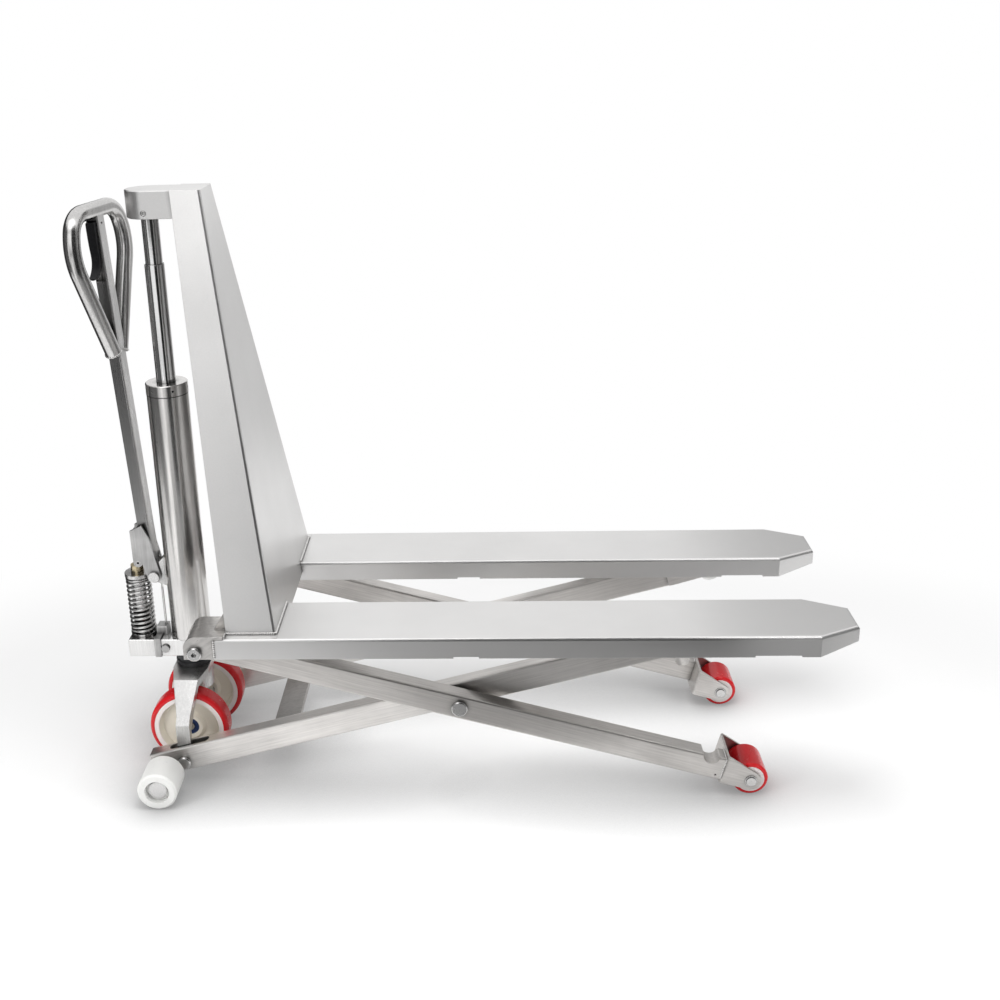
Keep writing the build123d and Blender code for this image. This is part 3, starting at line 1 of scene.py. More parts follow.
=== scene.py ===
# %% [markdown]
# # A scissor pallet truck in stainless steel
# The truck lifts a pallet to working height on two pairs of crossed legs. Its solids come from the
# CAD frame, already at real size, so this lesson does what CAD leaves out: the camera, the light, the
# metal and plastic finishes, a wound pump spring, the weld beads, a set screw and a short chain.

import json
import math

import bmesh
import bpy
from mathutils import Matrix, Vector


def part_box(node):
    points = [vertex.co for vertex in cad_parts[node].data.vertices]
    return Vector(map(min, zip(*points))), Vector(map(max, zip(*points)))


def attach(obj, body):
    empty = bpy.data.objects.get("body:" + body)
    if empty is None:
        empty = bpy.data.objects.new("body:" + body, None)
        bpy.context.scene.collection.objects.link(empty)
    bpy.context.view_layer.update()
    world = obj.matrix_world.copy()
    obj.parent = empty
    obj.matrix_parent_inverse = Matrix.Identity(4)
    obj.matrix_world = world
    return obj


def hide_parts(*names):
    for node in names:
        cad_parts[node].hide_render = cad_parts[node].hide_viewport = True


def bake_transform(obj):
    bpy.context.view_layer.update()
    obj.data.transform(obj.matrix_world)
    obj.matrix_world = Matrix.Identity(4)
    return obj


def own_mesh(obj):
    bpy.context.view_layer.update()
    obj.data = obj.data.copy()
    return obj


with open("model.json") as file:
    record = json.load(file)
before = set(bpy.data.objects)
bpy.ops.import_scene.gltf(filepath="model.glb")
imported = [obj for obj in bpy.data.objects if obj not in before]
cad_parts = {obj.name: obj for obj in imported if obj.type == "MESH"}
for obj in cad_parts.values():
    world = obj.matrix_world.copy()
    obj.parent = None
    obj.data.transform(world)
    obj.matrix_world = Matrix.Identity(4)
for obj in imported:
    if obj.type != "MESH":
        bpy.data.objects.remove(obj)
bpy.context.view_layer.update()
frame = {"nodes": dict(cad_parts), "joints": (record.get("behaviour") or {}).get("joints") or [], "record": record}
pivot = {j["name"]: Vector(j["pos_m"]) for j in frame["joints"] if "pos_m" in j}
slot_of = {part["node"]: part["material_slot"] for part in frame["record"]["subparts"]}

# %% [markdown]
# ## Camera
# The picture was taken from the right-hand side, a little above fork height, with a short lens and
# the truck left of the middle. A camera with the same lens, height, turn and lens shift puts every
# edge where the picture has it. A matrix built from the three angles is exact; a look-at constraint
# would lose the small roll.

# %% Camera from the picture's angles
CAMERA_PLACE = Vector((0.0556, -2.4565, 1.5761))
CAMERA_YAW = math.radians(-3.465)
CAMERA_DIP = math.radians(18.429)
CAMERA_ROLL = math.radians(1.946)
CAMERA_LENS = 44.0
CAMERA_SHIFT = (0.0777, -0.0722)


def camera_matrix():
    up = Vector((0, 0, 1))
    level = Vector((math.sin(CAMERA_YAW), math.cos(CAMERA_YAW), 0))
    right = level.cross(up)
    ahead = level * math.cos(CAMERA_DIP) - up * math.sin(CAMERA_DIP)
    down = ahead.cross(right)
    across = right * math.cos(CAMERA_ROLL) + down * math.sin(CAMERA_ROLL)
    below = down * math.cos(CAMERA_ROLL) - right * math.sin(CAMERA_ROLL)
    turn = Matrix((across, -below, -ahead)).transposed()
    return Matrix.Translation(CAMERA_PLACE) @ turn.to_4x4()


camera = bpy.data.objects.new("camera", bpy.data.cameras.new("camera"))
bpy.context.scene.collection.objects.link(camera)
camera.data.lens = CAMERA_LENS
camera.data.shift_x, camera.data.shift_y = CAMERA_SHIFT
camera.matrix_world = camera_matrix()
bpy.context.scene.camera = camera
bpy.context.scene.view_settings.view_transform = "Standard"
print("camera at", [round(v, 3) for v in camera.location], "lens", CAMERA_LENS)

# %% [markdown]
# ## Node helper
# Materials and geometry trees are both made of nodes joined by links. One helper adds a node, sets
# its properties, and either links or fills each input, so a tree reads top to bottom.


# %% A node in one call
def add(tree, kind, inputs=None, **properties):
    made = tree.nodes.new(kind)
    for name, value in properties.items():
        setattr(made, name, value)
    for key, value in (inputs or {}).items():
        if isinstance(value, bpy.types.NodeSocket):
            tree.links.new(value, made.inputs[key])
        else:
            made.inputs[key].default_value = value
    return made


def math_node(tree, operation, first, second=0.0):
    return add(tree, "ShaderNodeMath", {0: first, 1: second}, operation=operation).outputs[0]


print("node helpers ready")

# %% [markdown]
# ## Studio
# The truck stands on a white sweep under soft light, and its shadow stays close to the wheels. A
# rough white floor takes the shadow, and where parts stand close an occlusion mask darkens it further
# with painted shade. Away from the truck it fades into a white that only the camera and mirror-like
# rays see, so the backdrop costs no light on the steel. Bright metal shows its surroundings and little
# else, so cards out of the picture, seen only in reflections, give the tubes their long dark stripes
# and grade the flat sides from dark below to white above.

# %% Rays that see the backdrop
BACKDROP_WHITE = (1.0, 1.0, 1.0, 1.0)


def backdrop_rays(tree):
    rays = add(tree, "ShaderNodeLightPath")
    seen = math_node(tree, "MAXIMUM", rays.outputs["Is Camera Ray"], rays.outputs["Is Glossy Ray"])
    return math_node(tree, "MAXIMUM", seen, rays.outputs["Is Transmission Ray"])


SKY_LEVEL = 0.50
world = bpy.data.worlds.new("studio")
world.use_nodes = True
bpy.context.scene.world = world
sky = world.node_tree
sky.nodes.clear()
sky_light = add(sky, "ShaderNodeBackground", {"Color": BACKDROP_WHITE, "Strength": SKY_LEVEL})
sky_seen = add(sky, "ShaderNodeBackground", {"Color": BACKDROP_WHITE, "Strength": 1.0})
sky_mix = add(sky, "ShaderNodeMixShader",
              {0: backdrop_rays(sky), 1: sky_light.outputs[0], 2: sky_seen.outputs[0]})
add(sky, "ShaderNodeOutputWorld", {"Surface": sky_mix.outputs[0]})
print("sky level", SKY_LEVEL)

# %% Floor that fades to white
FLOOR_RADIUS = 14.0
FLOOR_SIDES = 96
FADE_NEAR = 0.72
FADE_FAR = 1.45
FADE_OVAL = (0.72, 1.15, 1.0)
FADE_LEAST = 0.28
FLOOR_COLOUR = (0.95, 0.95, 0.95, 1.0)
# Painted shade: near the parts an occlusion mask darkens the floor's colour towards this dark grey
CONTACT_SHADE_COLOUR = (0.02, 0.02, 0.02, 1.0)
CONTACT_SHADE_REACH = 0.20
CONTACT_SHADE_BITE = 1.7
CONTACT_SHADE_SAMPLES = 12


def floor_material():
    material = bpy.data.materials.new("studio_floor")
    material.use_nodes = True
    tree = material.node_tree
    tree.nodes.clear()
    place = add(tree, "ShaderNodeTexCoord")
    oval = add(tree, "ShaderNodeVectorMath",
               {0: place.outputs["Object"], 1: FADE_OVAL}, operation="MULTIPLY")
    away = add(tree, "ShaderNodeVectorMath", {0: oval.outputs[0]}, operation="LENGTH")
    fade = add(tree, "ShaderNodeMapRange", {
        "Value": away.outputs["Value"], "From Min": FADE_NEAR, "From Max": FADE_FAR,
    }, interpolation_type="SMOOTHSTEP")
    white_share = math_node(tree, "MAXIMUM", fade.outputs[0], FADE_LEAST)
    share = math_node(tree, "MULTIPLY", white_share, backdrop_rays(tree))
    # Painted shade: the occlusion mask turns the floor colour dark where parts stand close
    near = add(tree, "ShaderNodeAmbientOcclusion", {"Distance": CONTACT_SHADE_REACH}, samples=CONTACT_SHADE_SAMPLES)
    contact_shade = add(tree, "ShaderNodeMix", {
        "Factor": math_node(tree, "POWER", near.outputs["AO"], CONTACT_SHADE_BITE),
        6: CONTACT_SHADE_COLOUR, 7: FLOOR_COLOUR,
    }, data_type="RGBA")
    matt = add(tree, "ShaderNodeBsdfDiffuse", {"Color": contact_shade.outputs[2]})
    white = add(tree, "ShaderNodeEmission", {"Color": BACKDROP_WHITE, "Strength": 1.0})
    mixed = add(tree, "ShaderNodeMixShader", {0: share, 1: matt.outputs[0], 2: white.outputs[0]})
    add(tree, "ShaderNodeOutputMaterial", {"Surface": mixed.outputs[0]})
    return material


def flat_panel(name, corners, material):
    mesh = bpy.data.meshes.new(name)
    mesh.from_pydata(corners, [], [list(range(len(corners)))])
    mesh.materials.append(material)
    panel = bpy.data.objects.new(name, mesh)
    bpy.context.scene.collection.objects.link(panel)
    return panel


steps = [2 * math.pi * i / FLOOR_SIDES for i in range(FLOOR_SIDES)]
rim = [(FLOOR_RADIUS * math.cos(a), FLOOR_RADIUS * math.sin(a), 0.0) for a in steps]
flat_panel("floor", rim, floor_material())
print("floor radius", FLOOR_RADIUS, "m")

# %% Lamps
LAMP_TARGET = Vector((-0.1, 0.0, 0.3))
# Each lamp: place, size, power
LAMPS = {
    "top_lamp": (Vector((0.0, -0.2, 2.4)), 1.2, 34.0),
    "left_lamp": (Vector((-2.0, -1.6, 1.3)), 0.8, 22.0),
    "right_lamp": (Vector((2.2, -1.2, 1.3)), 0.8, 16.0),
}


def soft_lamp(name, place, size, power):
    lamp = bpy.data.objects.new(name, bpy.data.lights.new(name, "AREA"))
    bpy.context.scene.collection.objects.link(lamp)
    lamp.data.shape = "SQUARE"
    lamp.data.size = size
    lamp.data.energy = power
    lamp.location = place
    lamp.rotation_euler = (LAMP_TARGET - place).to_track_quat("-Z", "Y").to_euler()
    lamp.visible_glossy = False
    return lamp


for name, (place, size, power) in LAMPS.items():
    soft_lamp(name, place, size, power)
print("lamps:", {name: power for name, (place, size, power) in LAMPS.items()})

# %% Where the cards stand
# Each upright card: left end, right end, grey, foot, top
UPRIGHT_CARDS = {
    "left_back_card": ((-1.5, 2.4), (-2.6, -0.1), 0.04, 0.0, 2.4),
    "left_card": ((-2.6, -0.1), (-2.0, -1.3), 0.12, 0.0, 2.4),
    "shaft_card": ((-2.0, -1.3), (-1.86, -1.64), 0.04, 0.0, 2.4),
    "right_flag": ((0.7, -3.4), (2.7, 0.2), 0.20, 0.0, 2.4),
    "ram_flag": ((-0.42, -1.25), (0.6, -0.55), 0.02, 0.2, 2.2),
    "back_card": ((-0.6, 2.6), (1.0, 2.4), 0.72, 0.0, 1.0),
    "right_back_card": ((1.0, 2.4), (3.4, 1.2), 0.50, 0.0, 2.4),
}
FRONT_CARD = [(-2.6, -4.6), (2.4, -4.6), (2.4, -0.42), (0.0, -0.42), (-0.5, -0.85), (-2.6, -0.85)]
FRONT_CARD_GREYS = (1.0, 0.24)
LEFT_CARD = [(-2.6, -0.1), (-1.15, -0.1), (-1.05, 1.8), (-2.2, 1.8)]
LEFT_CARD_GREY = 0.05
GLOW_CARD = [(-2.8, -4.7, 0.4), (0.8, -4.7, 0.4), (0.8, -4.7, 3.6), (-2.8, -4.7, 3.6)]
GLOW_GREYS = (0.30, 1.45)
GLOW_RISE = (0.5, 2.5)
BARREL_CARD = [(-1.9, -3.2), (-1.1, -3.2), (-0.95, -0.9), (-1.45, -0.9)]
BARREL_CARD_GREY = 1.3
CARD_LIFT = 0.002
OVERHEAD_CARD = [(-1.6, -1.9, 2.7), (1.8, -1.9, 2.7), (1.8, -0.5, 2.7), (-1.6, -0.5, 2.7)]
OVERHEAD_GREY = 2.2
print("upright cards:", ", ".join(UPRIGHT_CARDS))


# %% Cards that only the steel sees
def card_material(name, grey):
    material = bpy.data.materials.new(name)
    material.use_nodes = True
    tree = material.node_tree
    tree.nodes.clear()
    cloth = add(tree, "ShaderNodeEmission", {"Color": BACKDROP_WHITE, "Strength": grey})
    add(tree, "ShaderNodeOutputMaterial", {"Surface": cloth.outputs[0]})
    return material


def graded_material(name, axis, span, greys):
    material = card_material(name, greys[0])
    tree = material.node_tree
    place = add(tree, "ShaderNodeTexCoord")
    parts = add(tree, "ShaderNodeSeparateXYZ", {0: place.outputs["Object"]})
    grade = add(tree, "ShaderNodeMapRange", {
        "Value": parts.outputs[axis], "From Min": span[0], "From Max": span[1],
        "To Min": greys[0], "To Max": greys[1],
    })
    tree.links.new(grade.outputs[0], tree.nodes["Emission"].inputs["Strength"])
    return material


cards = []


def reflected_only(panel):
    panel.visible_camera = False
    panel.visible_diffuse = False
    panel.visible_shadow = False
    cards.append(panel.name)


def upright_card(name, left, right, grey, low, high):
    reflected_only(flat_panel(name, [
        (*left, low), (*right, low), (*right, high), (*left, high),
    ], card_material(name, grey)))


def floor_card(name, plan, material, lift=CARD_LIFT):
    reflected_only(flat_panel(name, [(x, y, lift) for x, y in plan], material))


for name, card in UPRIGHT_CARDS.items():
    upright_card(name, *card)
depths = [y for x, y in FRONT_CARD]
front_graded = graded_material("front_card", "Y", (min(depths), max(depths)), FRONT_CARD_GREYS)
floor_card("front_card", FRONT_CARD, front_graded)
floor_card("left_floor_card", LEFT_CARD, card_material("left_floor_card", LEFT_CARD_GREY))
floor_card("barrel_card", BARREL_CARD, card_material("barrel_card", BARREL_CARD_GREY), 2 * CARD_LIFT)
overhead_cloth = card_material("overhead_card", OVERHEAD_GREY)
reflected_only(flat_panel("overhead_card", OVERHEAD_CARD, overhead_cloth))
glow_cloth = graded_material("glow_card", "Z", GLOW_RISE, GLOW_GREYS)
reflected_only(flat_panel("glow_card", GLOW_CARD, glow_cloth))
print("cards:", len(cards))

# %% [markdown]
# ## Shared effects
# Three effects come back in most of the finishes, so each is a shader node group with named inputs.
# *Worked metal* gives the long streaks that a belt or a lathe leaves, and the broad clouds of
# handling. *Soft edge* rounds the drawn corners a little and finds them, so that the steels paint them
# lighter, partly as wear and partly as a painted highlight; it also finds the crevices, where the
# steels paint shade into their colour.
# *Scuff* gives the sparse rub marks of plastic that rolls over a floor.


# %% A group with named sockets
def new_group(name, inputs, outputs):
    group = bpy.data.node_groups.new(name, "ShaderNodeTree")
    for label, kind, value in inputs:
        socket = group.interface.new_socket(label, in_out="INPUT", socket_type=kind)
        if value is not None:
            socket.default_value = value
    for label, kind in outputs:
        group.interface.new_socket(label, in_out="OUTPUT", socket_type=kind)
    return group, group.nodes.new("NodeGroupInput"), group.nodes.new("NodeGroupOutput")


FLOAT = "NodeSocketFloat"
VECTOR = "NodeSocketVector"
EDGE_SAMPLES = 4
CREVICE_SHADE_SAMPLES = 6
SCUFF_FULL = 0.75
GRAIN_FINER = 18.0


def worked_metal_group():
    group, given, out = new_group(
        "worked_metal",
        [("Coordinates", VECTOR, None), ("Stretch", VECTOR, (1.0, 1.0, 1.0)),
         ("Streak Scale", FLOAT, 300.0), ("Cloud Scale", FLOAT, 6.0)],
        [("Streak", FLOAT), ("Cloud", FLOAT)],
    )
    stretched = add(group, "ShaderNodeVectorMath",
                    {0: given.outputs["Coordinates"], 1: given.outputs["Stretch"]}, operation="MULTIPLY")
    streak = add(group, "ShaderNodeTexNoise", {
        "Vector": stretched.outputs[0], "Scale": given.outputs["Streak Scale"],
        "Detail": 3.0, "Roughness": 0.6,
    })
    cloud = add(group, "ShaderNodeTexNoise", {
        "Vector": given.outputs["Coordinates"], "Scale": given.outputs["Cloud Scale"],
        "Detail": 5.0, "Roughness": 0.55,
    })
    group.links.new(streak.outputs[0], out.inputs["Streak"])
    group.links.new(cloud.outputs[0], out.inputs["Cloud"])
    return group


def soft_edge_group():
    group, given, out = new_group(
        "soft_edge", [("Radius", FLOAT, 0.001), ("Gain", FLOAT, 3.0), ("Reach", FLOAT, 0.012)],
        [("Normal", VECTOR), ("Edge", FLOAT), ("Crevice Shade", FLOAT)],
    )
    rounded = add(group, "ShaderNodeBevel", {"Radius": given.outputs["Radius"]}, samples=EDGE_SAMPLES)
    plain = add(group, "ShaderNodeNewGeometry")
    same = add(group, "ShaderNodeVectorMath",
               {0: rounded.outputs[0], 1: plain.outputs["Normal"]}, operation="DOT_PRODUCT")
    bent = math_node(group, "SUBTRACT", 1.0, same.outputs["Value"])
    edge = add(group, "ShaderNodeMath", {0: bent, 1: given.outputs["Gain"]},
               operation="MULTIPLY", use_clamp=True)
    group.links.new(rounded.outputs[0], out.inputs["Normal"])
    group.links.new(edge.outputs[0], out.inputs["Edge"])
    # The occlusion mask marks the crevices where the steels paint shade
    open_sky = add(group, "ShaderNodeAmbientOcclusion",
                   {"Distance": given.outputs["Reach"]}, samples=CREVICE_SHADE_SAMPLES)
    shade_share = math_node(group, "SUBTRACT", 1.0, open_sky.outputs["AO"])
    group.links.new(shade_share, out.inputs["Crevice Shade"])
    return group


def scuff_group():
    group, given, out = new_group(
        "scuff", [("Coordinates", VECTOR, None), ("Scale", FLOAT, 60.0), ("Sparse", FLOAT, 0.58)],
        [("Mark", FLOAT), ("Grain", FLOAT)],
    )
    marks = add(group, "ShaderNodeTexNoise", {
        "Vector": given.outputs["Coordinates"], "Scale": given.outputs["Scale"],
        "Detail": 6.0, "Roughness": 0.65,
    })
    kept = add(group, "ShaderNodeMapRange", {
        "Value": marks.outputs[0], "From Min": given.outputs["Sparse"], "From Max": SCUFF_FULL,
    }, interpolation_type="SMOOTHSTEP")
    fine = math_node(group, "MULTIPLY", given.outputs["Scale"], GRAIN_FINER)
    grain = add(group, "ShaderNodeTexNoise", {
        "Vector": given.outputs["Coordinates"], "Scale": fine, "Detail": 2.0,
    })
    group.links.new(kept.outputs[0], out.inputs["Mark"])
    group.links.new(grain.outputs[0], out.inputs["Grain"])
    return group


WORKED_METAL = worked_metal_group()
SOFT_EDGE = soft_edge_group()
SCUFF = scuff_group()
print("groups:", WORKED_METAL.name, SOFT_EDGE.name, SCUFF.name)

# %% [markdown]
# ## Steel finishes
# The same stainless steel is bead blasted on the forks and the shield, belt brushed along the legs,
# polished on the handle and ground to a mirror on the ram. They differ in how rough they are, in how
# far apart their two greys lie, and in which way the streaks run, so one function makes them all. A few
# change over one piece: the button on the plunger is brass, the gland closes the barrel with a fine
# dark seam, and the shaft's sides carry painted shade while its front and back carry painted light. A
# mask drawn from the piece's own coordinates repaints such a region, and it stays in place however the
# piece moves.


# %% The handle's own axes
HANDLE_FOOT = Vector((-0.70573, 0, 0.425))
HANDLE_LEAN = math.radians(2.9)
HANDLE_TWIST = math.radians(13)
handle_place = (Matrix.Translation(HANDLE_FOOT) @ Matrix.Rotation(-HANDLE_LEAN, 4, "Y")
                @ Matrix.Rotation(-HANDLE_TWIST, 4, "Z"))
handle_across = handle_place.to_3x3() @ Vector((0, 1, 0))
print("handle across", [round(v, 3) for v in handle_across])


# %% A steel of any finish
CREVICE_SHADE_GREY = 0.05
TONE_LOW = 0.7
TONE_HIGH = 1.3
EDGE_GAIN = 2.5
EDGE_WEAR_AND_HIGHLIGHT_LIGHTER = 1.18
STREAK_DEPTH = 0.0006


def place_group(tree, group, inputs):
    made = add(tree, "ShaderNodeGroup", node_tree=group)
    for name, value in inputs.items():
        if isinstance(value, bpy.types.NodeSocket):
            tree.links.new(value, made.inputs[name])
        else:
            made.inputs[name].default_value = value
    return made


def greyed(level, warm=0.0):
    return (level * (1 + warm), level, level * (1 - warm), 1.0)


def steel(name, dark, light, rough, stretch, turn=0.0, streak=300.0, cloud=6.0, bump=0.12,
          edge=0.0012, warm=0.008, crevice_shade=0.9):
    material = bpy.data.materials.new(name)
    material.use_nodes = True
    tree = material.node_tree
    tree.nodes.clear()
    place = add(tree, "ShaderNodeTexCoord")
    along = add(tree, "ShaderNodeMapping", {"Vector": place.outputs["Object"], "Rotation": (0, turn, 0)})
    worked = place_group(tree, WORKED_METAL, {
        "Coordinates": along.outputs[0], "Stretch": stretch, "Streak Scale": streak, "Cloud Scale": cloud,
    })
    corner = place_group(tree, SOFT_EDGE, {"Radius": edge, "Gain": EDGE_GAIN})
    both = math_node(tree, "ADD", worked.outputs["Streak"], worked.outputs["Cloud"])
    tone = add(tree, "ShaderNodeMapRange", {"Value": both, "From Min": TONE_LOW, "From Max": TONE_HIGH})
    colour = add(tree, "ShaderNodeMix", {
        "Factor": tone.outputs[0], 6: greyed(dark, warm), 7: greyed(light, warm),
    }, data_type="RGBA")
    # Edges are painted lighter: partly wear from handling, partly a painted highlight along the folds
    worn_and_highlit_grey = greyed(min(1.0, light * EDGE_WEAR_AND_HIGHLIGHT_LIGHTER), warm)
    worn_and_highlit = add(tree, "ShaderNodeMix", {
        "Factor": corner.outputs["Edge"], 6: colour.outputs[2], 7: worn_and_highlit_grey,
    }, data_type="RGBA")
    # Painted shade: the crevices that the occlusion mask finds turn towards a near-black grey
    crevice_shaded = add(tree, "ShaderNodeMix", {
        "Factor": math_node(tree, "MULTIPLY", corner.outputs["Crevice Shade"], crevice_shade),
        6: worn_and_highlit.outputs[2], 7: greyed(CREVICE_SHADE_GREY),
    }, data_type="RGBA")
    rough_low, rough_high = rough
    gloss = add(tree, "ShaderNodeMapRange", {
        "Value": both, "From Min": TONE_LOW, "From Max": TONE_HIGH,
        "To Min": rough_high, "To Max": rough_low,
    })
    relief = add(tree, "ShaderNodeBump", {
        "Height": worked.outputs["Streak"], "Normal": corner.outputs["Normal"],
        "Strength": bump, "Distance": STREAK_DEPTH,
    })
    shader = add(tree, "ShaderNodeBsdfPrincipled", {
        "Base Color": crevice_shaded.outputs[2], "Roughness": gloss.outputs[0], "Metallic": 1.0,
        "Normal": relief.outputs[0],
    })
    add(tree, "ShaderNodeOutputMaterial", {"Surface": shader.outputs[0]})
    return material


print("steel ready")


# %% A region in another colour
def repaint(material, mask, colour, blend="MIX"):
    tree = material.node_tree
    shader = tree.nodes["Principled BSDF"]
    plain = shader.inputs["Base Color"].links[0].from_socket
    place = add(tree, "ShaderNodeTexCoord").outputs["Object"]
    mixed = add(tree, "ShaderNodeMix", {"Factor": mask(tree, place), 6: plain, 7: colour},
                data_type="RGBA", blend_type=blend)
    tree.links.new(mixed.outputs[2], shader.inputs["Base Color"])


def above(height):
    def mask(tree, place):
        parts = add(tree, "ShaderNodeSeparateXYZ", {0: place})
        return math_node(tree, "GREATER_THAN", parts.outputs["Z"], height)
    return mask


def line_at(height, half):
    def mask(tree, place):
        parts = add(tree, "ShaderNodeSeparateXYZ", {0: place})
        off = math_node(tree, "SUBTRACT", parts.outputs["Z"], height)
        return math_node(tree, "LESS_THAN", math_node(tree, "ABSOLUTE", off), half)
    return mask


def shaft_faces(sides, half):
    def mask(tree, place):
        apart = add(tree, "ShaderNodeVectorMath", {0: place, 1: HANDLE_FOOT}, operation="SUBTRACT")
        off = add(tree, "ShaderNodeVectorMath",
                  {0: apart.outputs[0], 1: handle_across}, operation="DOT_PRODUCT")
        reach = math_node(tree, "ABSOLUTE", off.outputs["Value"])
        return math_node(tree, "GREATER_THAN" if sides else "LESS_THAN", reach, half)
    return mask


def rim_beyond(centre, radius):
    def mask(tree, place):
        apart = add(tree, "ShaderNodeVectorMath", {0: place, 1: centre}, operation="SUBTRACT")
        flat = add(tree, "ShaderNodeVectorMath", {0: apart.outputs[0], 1: (1, 0, 1)}, operation="MULTIPLY")
        reach = add(tree, "ShaderNodeVectorMath", {0: flat.outputs[0]}, operation="LENGTH")
        return math_node(tree, "GREATER_THAN", reach.outputs["Value"], radius)
    return mask


print("region masks ready")


# %% Which way the streaks run
def slope_of(start, end):
    return math.atan2(end.z - start.z, end.x - start.x)


ALONG_X = (0.03, 1.0, 1.0)
ALONG_Z = (1.0, 1.0, 0.03)
ROUND_Z = (0.05, 0.05, 1.0)
EVEN = (1.0, 1.0, 1.0)
outer_turn = slope_of(pivot["rear_turn"], pivot["centre_turn"])
inner_turn = slope_of(pivot["lift"], pivot["centre_turn"])
print("legs slope", round(math.degrees(outer_turn), 1), "and", round(math.degrees(inner_turn), 1))

# %% Steels of the slots
finish = {
    "satin_steel": steel("satin_steel", 0.60, 0.78, (0.30, 0.44), ALONG_X),
    "blasted_steel": steel("blasted_steel", 0.72, 0.80, (0.32, 0.40), EVEN,
                           streak=700.0, cloud=4.0, bump=0.06),
    "polished_steel": steel("polished_steel", 0.66, 0.80, (0.10, 0.20), ALONG_Z, cloud=9.0, bump=0.05),
    "chromed_rod": steel("chromed_rod", 0.74, 0.80, (0.05, 0.10), ROUND_Z,
                         streak=900.0, bump=0.02, warm=0.0),
    "bright_pins": steel("bright_pins", 0.62, 0.78, (0.20, 0.30), EVEN, streak=500.0, bump=0.06),
    "spring_wire": steel("spring_wire", 0.60, 0.76, (0.18, 0.30), EVEN, streak=600.0, bump=0.08),
}
print("slot steels:", ", ".join(finish))

# %% Steels of single pieces
GLAND_DEPTH = 0.025
SEAM_HALF = 0.0010
SEAM_GREY = 0.10
SHAFT_HALF = 0.0134
# Painted shade on the shaft's sides and painted light on its front and back
SHAFT_SIDE_SHADE = 0.62
SHAFT_FACE_LIGHT = 1.48
BUTTON_FOOT = 0.4277
BRASS_TINT = (1.0, 0.86, 0.58, 1.0)
GRIND_TURN = 0.6
outer_brushed = steel("outer_leg_brushed", 0.52, 0.72, (0.30, 0.44), ALONG_X, turn=outer_turn, warm=0.035)
inner_brushed = steel("inner_leg_brushed", 0.64, 0.84, (0.30, 0.44), ALONG_X, turn=inner_turn, warm=0.03)
bridge_steel = steel("bridge_steel", 0.58, 0.74, (0.24, 0.34), ALONG_Z, cloud=5.0, bump=0.08)
shaft_steel = steel("shaft_steel", 0.46, 0.64, (0.24, 0.38), ALONG_Z, cloud=9.0, bump=0.04)
# Painted shade darkens the shaft's sides; painted light brightens its front and back
repaint(shaft_steel, shaft_faces(True, SHAFT_HALF), greyed(SHAFT_SIDE_SHADE), "MULTIPLY")
repaint(shaft_steel, shaft_faces(False, SHAFT_HALF), greyed(SHAFT_FACE_LIGHT), "MULTIPLY")
clip_steel = steel("clip_steel", 0.34, 0.54, (0.28, 0.42), ALONG_Z, cloud=30.0, bump=0.10)
barrel_steel = steel("barrel_steel", 0.60, 0.76, (0.17, 0.26), ALONG_Z, cloud=5.0, bump=0.03, warm=0.02)
gland_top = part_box("barrel_gland")[1].z
repaint(barrel_steel, line_at(gland_top - GLAND_DEPTH, SEAM_HALF), greyed(SEAM_GREY))
clevis_steel = steel("clevis_steel", 0.40, 0.56, (0.30, 0.44), ALONG_Z, cloud=20.0, bump=0.08)
plate_steel = steel("plate_steel", 0.34, 0.50, (0.30, 0.44), ALONG_X, warm=0.035)
loop_steel = steel("loop_steel", 0.52, 0.70, (0.15, 0.25), ALONG_Z, cloud=9.0, bump=0.015, warm=0.012)
ground_steel = steel("ground_steel", 0.50, 0.76, (0.26, 0.42), ALONG_X, turn=GRIND_TURN,
                     streak=150.0, cloud=30.0, bump=0.35, warm=0.03)
# The weld metal takes only a quarter of the painted crevice shade
weld_metal = steel("weld_metal", 0.66, 0.90, (0.20, 0.32), EVEN, streak=450.0, cloud=40.0, bump=0.2,
                   warm=0.015, crevice_shade=0.25)
button_steel = steel("button_steel", 0.62, 0.78, (0.20, 0.30), ROUND_Z, streak=500.0, bump=0.06)
repaint(button_steel, above(BUTTON_FOOT), BRASS_TINT, "MULTIPLY")
print("gland seam at", round(gland_top - GLAND_DEPTH, 3), "m, brass above", BUTTON_FOOT, "m")

# %% [markdown]
# ## Plastics and rubbers
# The tyres are cast red polyurethane, the wheel bodies and the stabiliser rollers are turned nylon,
# and the bearings close with blue seals. They all share a fine grain and a few scuffs, and only the
# colours and the gloss change. The steering wheels' nylon is paler on the lip that holds the tyre.


# %% A plastic of any colour
CAST_GAIN = 1.5
GRAIN_DEPTH = 0.0005
LIP_RADIUS = 0.0675
LIP_COLOUR = (0.92, 0.84, 0.82, 1.0)


def plastic(name, plain, scuffed, rough, scale=60.0, bump=0.10, edge=0.0015, shine=0.5):
    material = bpy.data.materials.new(name)
    material.use_nodes = True
    tree = material.node_tree
    tree.nodes.clear()
    place = add(tree, "ShaderNodeTexCoord")
    worn = place_group(tree, SCUFF, {"Coordinates": place.outputs["Object"], "Scale": scale})
    corner = place_group(tree, SOFT_EDGE, {"Radius": edge, "Gain": CAST_GAIN})
    colour = add(tree, "ShaderNodeMix", {
        "Factor": worn.outputs["Mark"], 6: (*plain, 1.0), 7: (*scuffed, 1.0),
    }, data_type="RGBA")
    rough_low, rough_high = rough
    gloss = add(tree, "ShaderNodeMapRange", {
        "Value": worn.outputs["Mark"], "To Min": rough_low, "To Max": rough_high,
    })
    relief = add(tree, "ShaderNodeBump", {
        "Height": worn.outputs["Grain"], "Normal": corner.outputs["Normal"],
        "Strength": bump, "Distance": GRAIN_DEPTH,
    })
    shader = add(tree, "ShaderNodeBsdfPrincipled", {
        "Base Color": colour.outputs[2], "Roughness": gloss.outputs[0],
        "Normal": relief.outputs[0], "Specular IOR Level": shine,
    })
    add(tree, "ShaderNodeOutputMaterial", {"Surface": shader.outputs[0]})
    return material


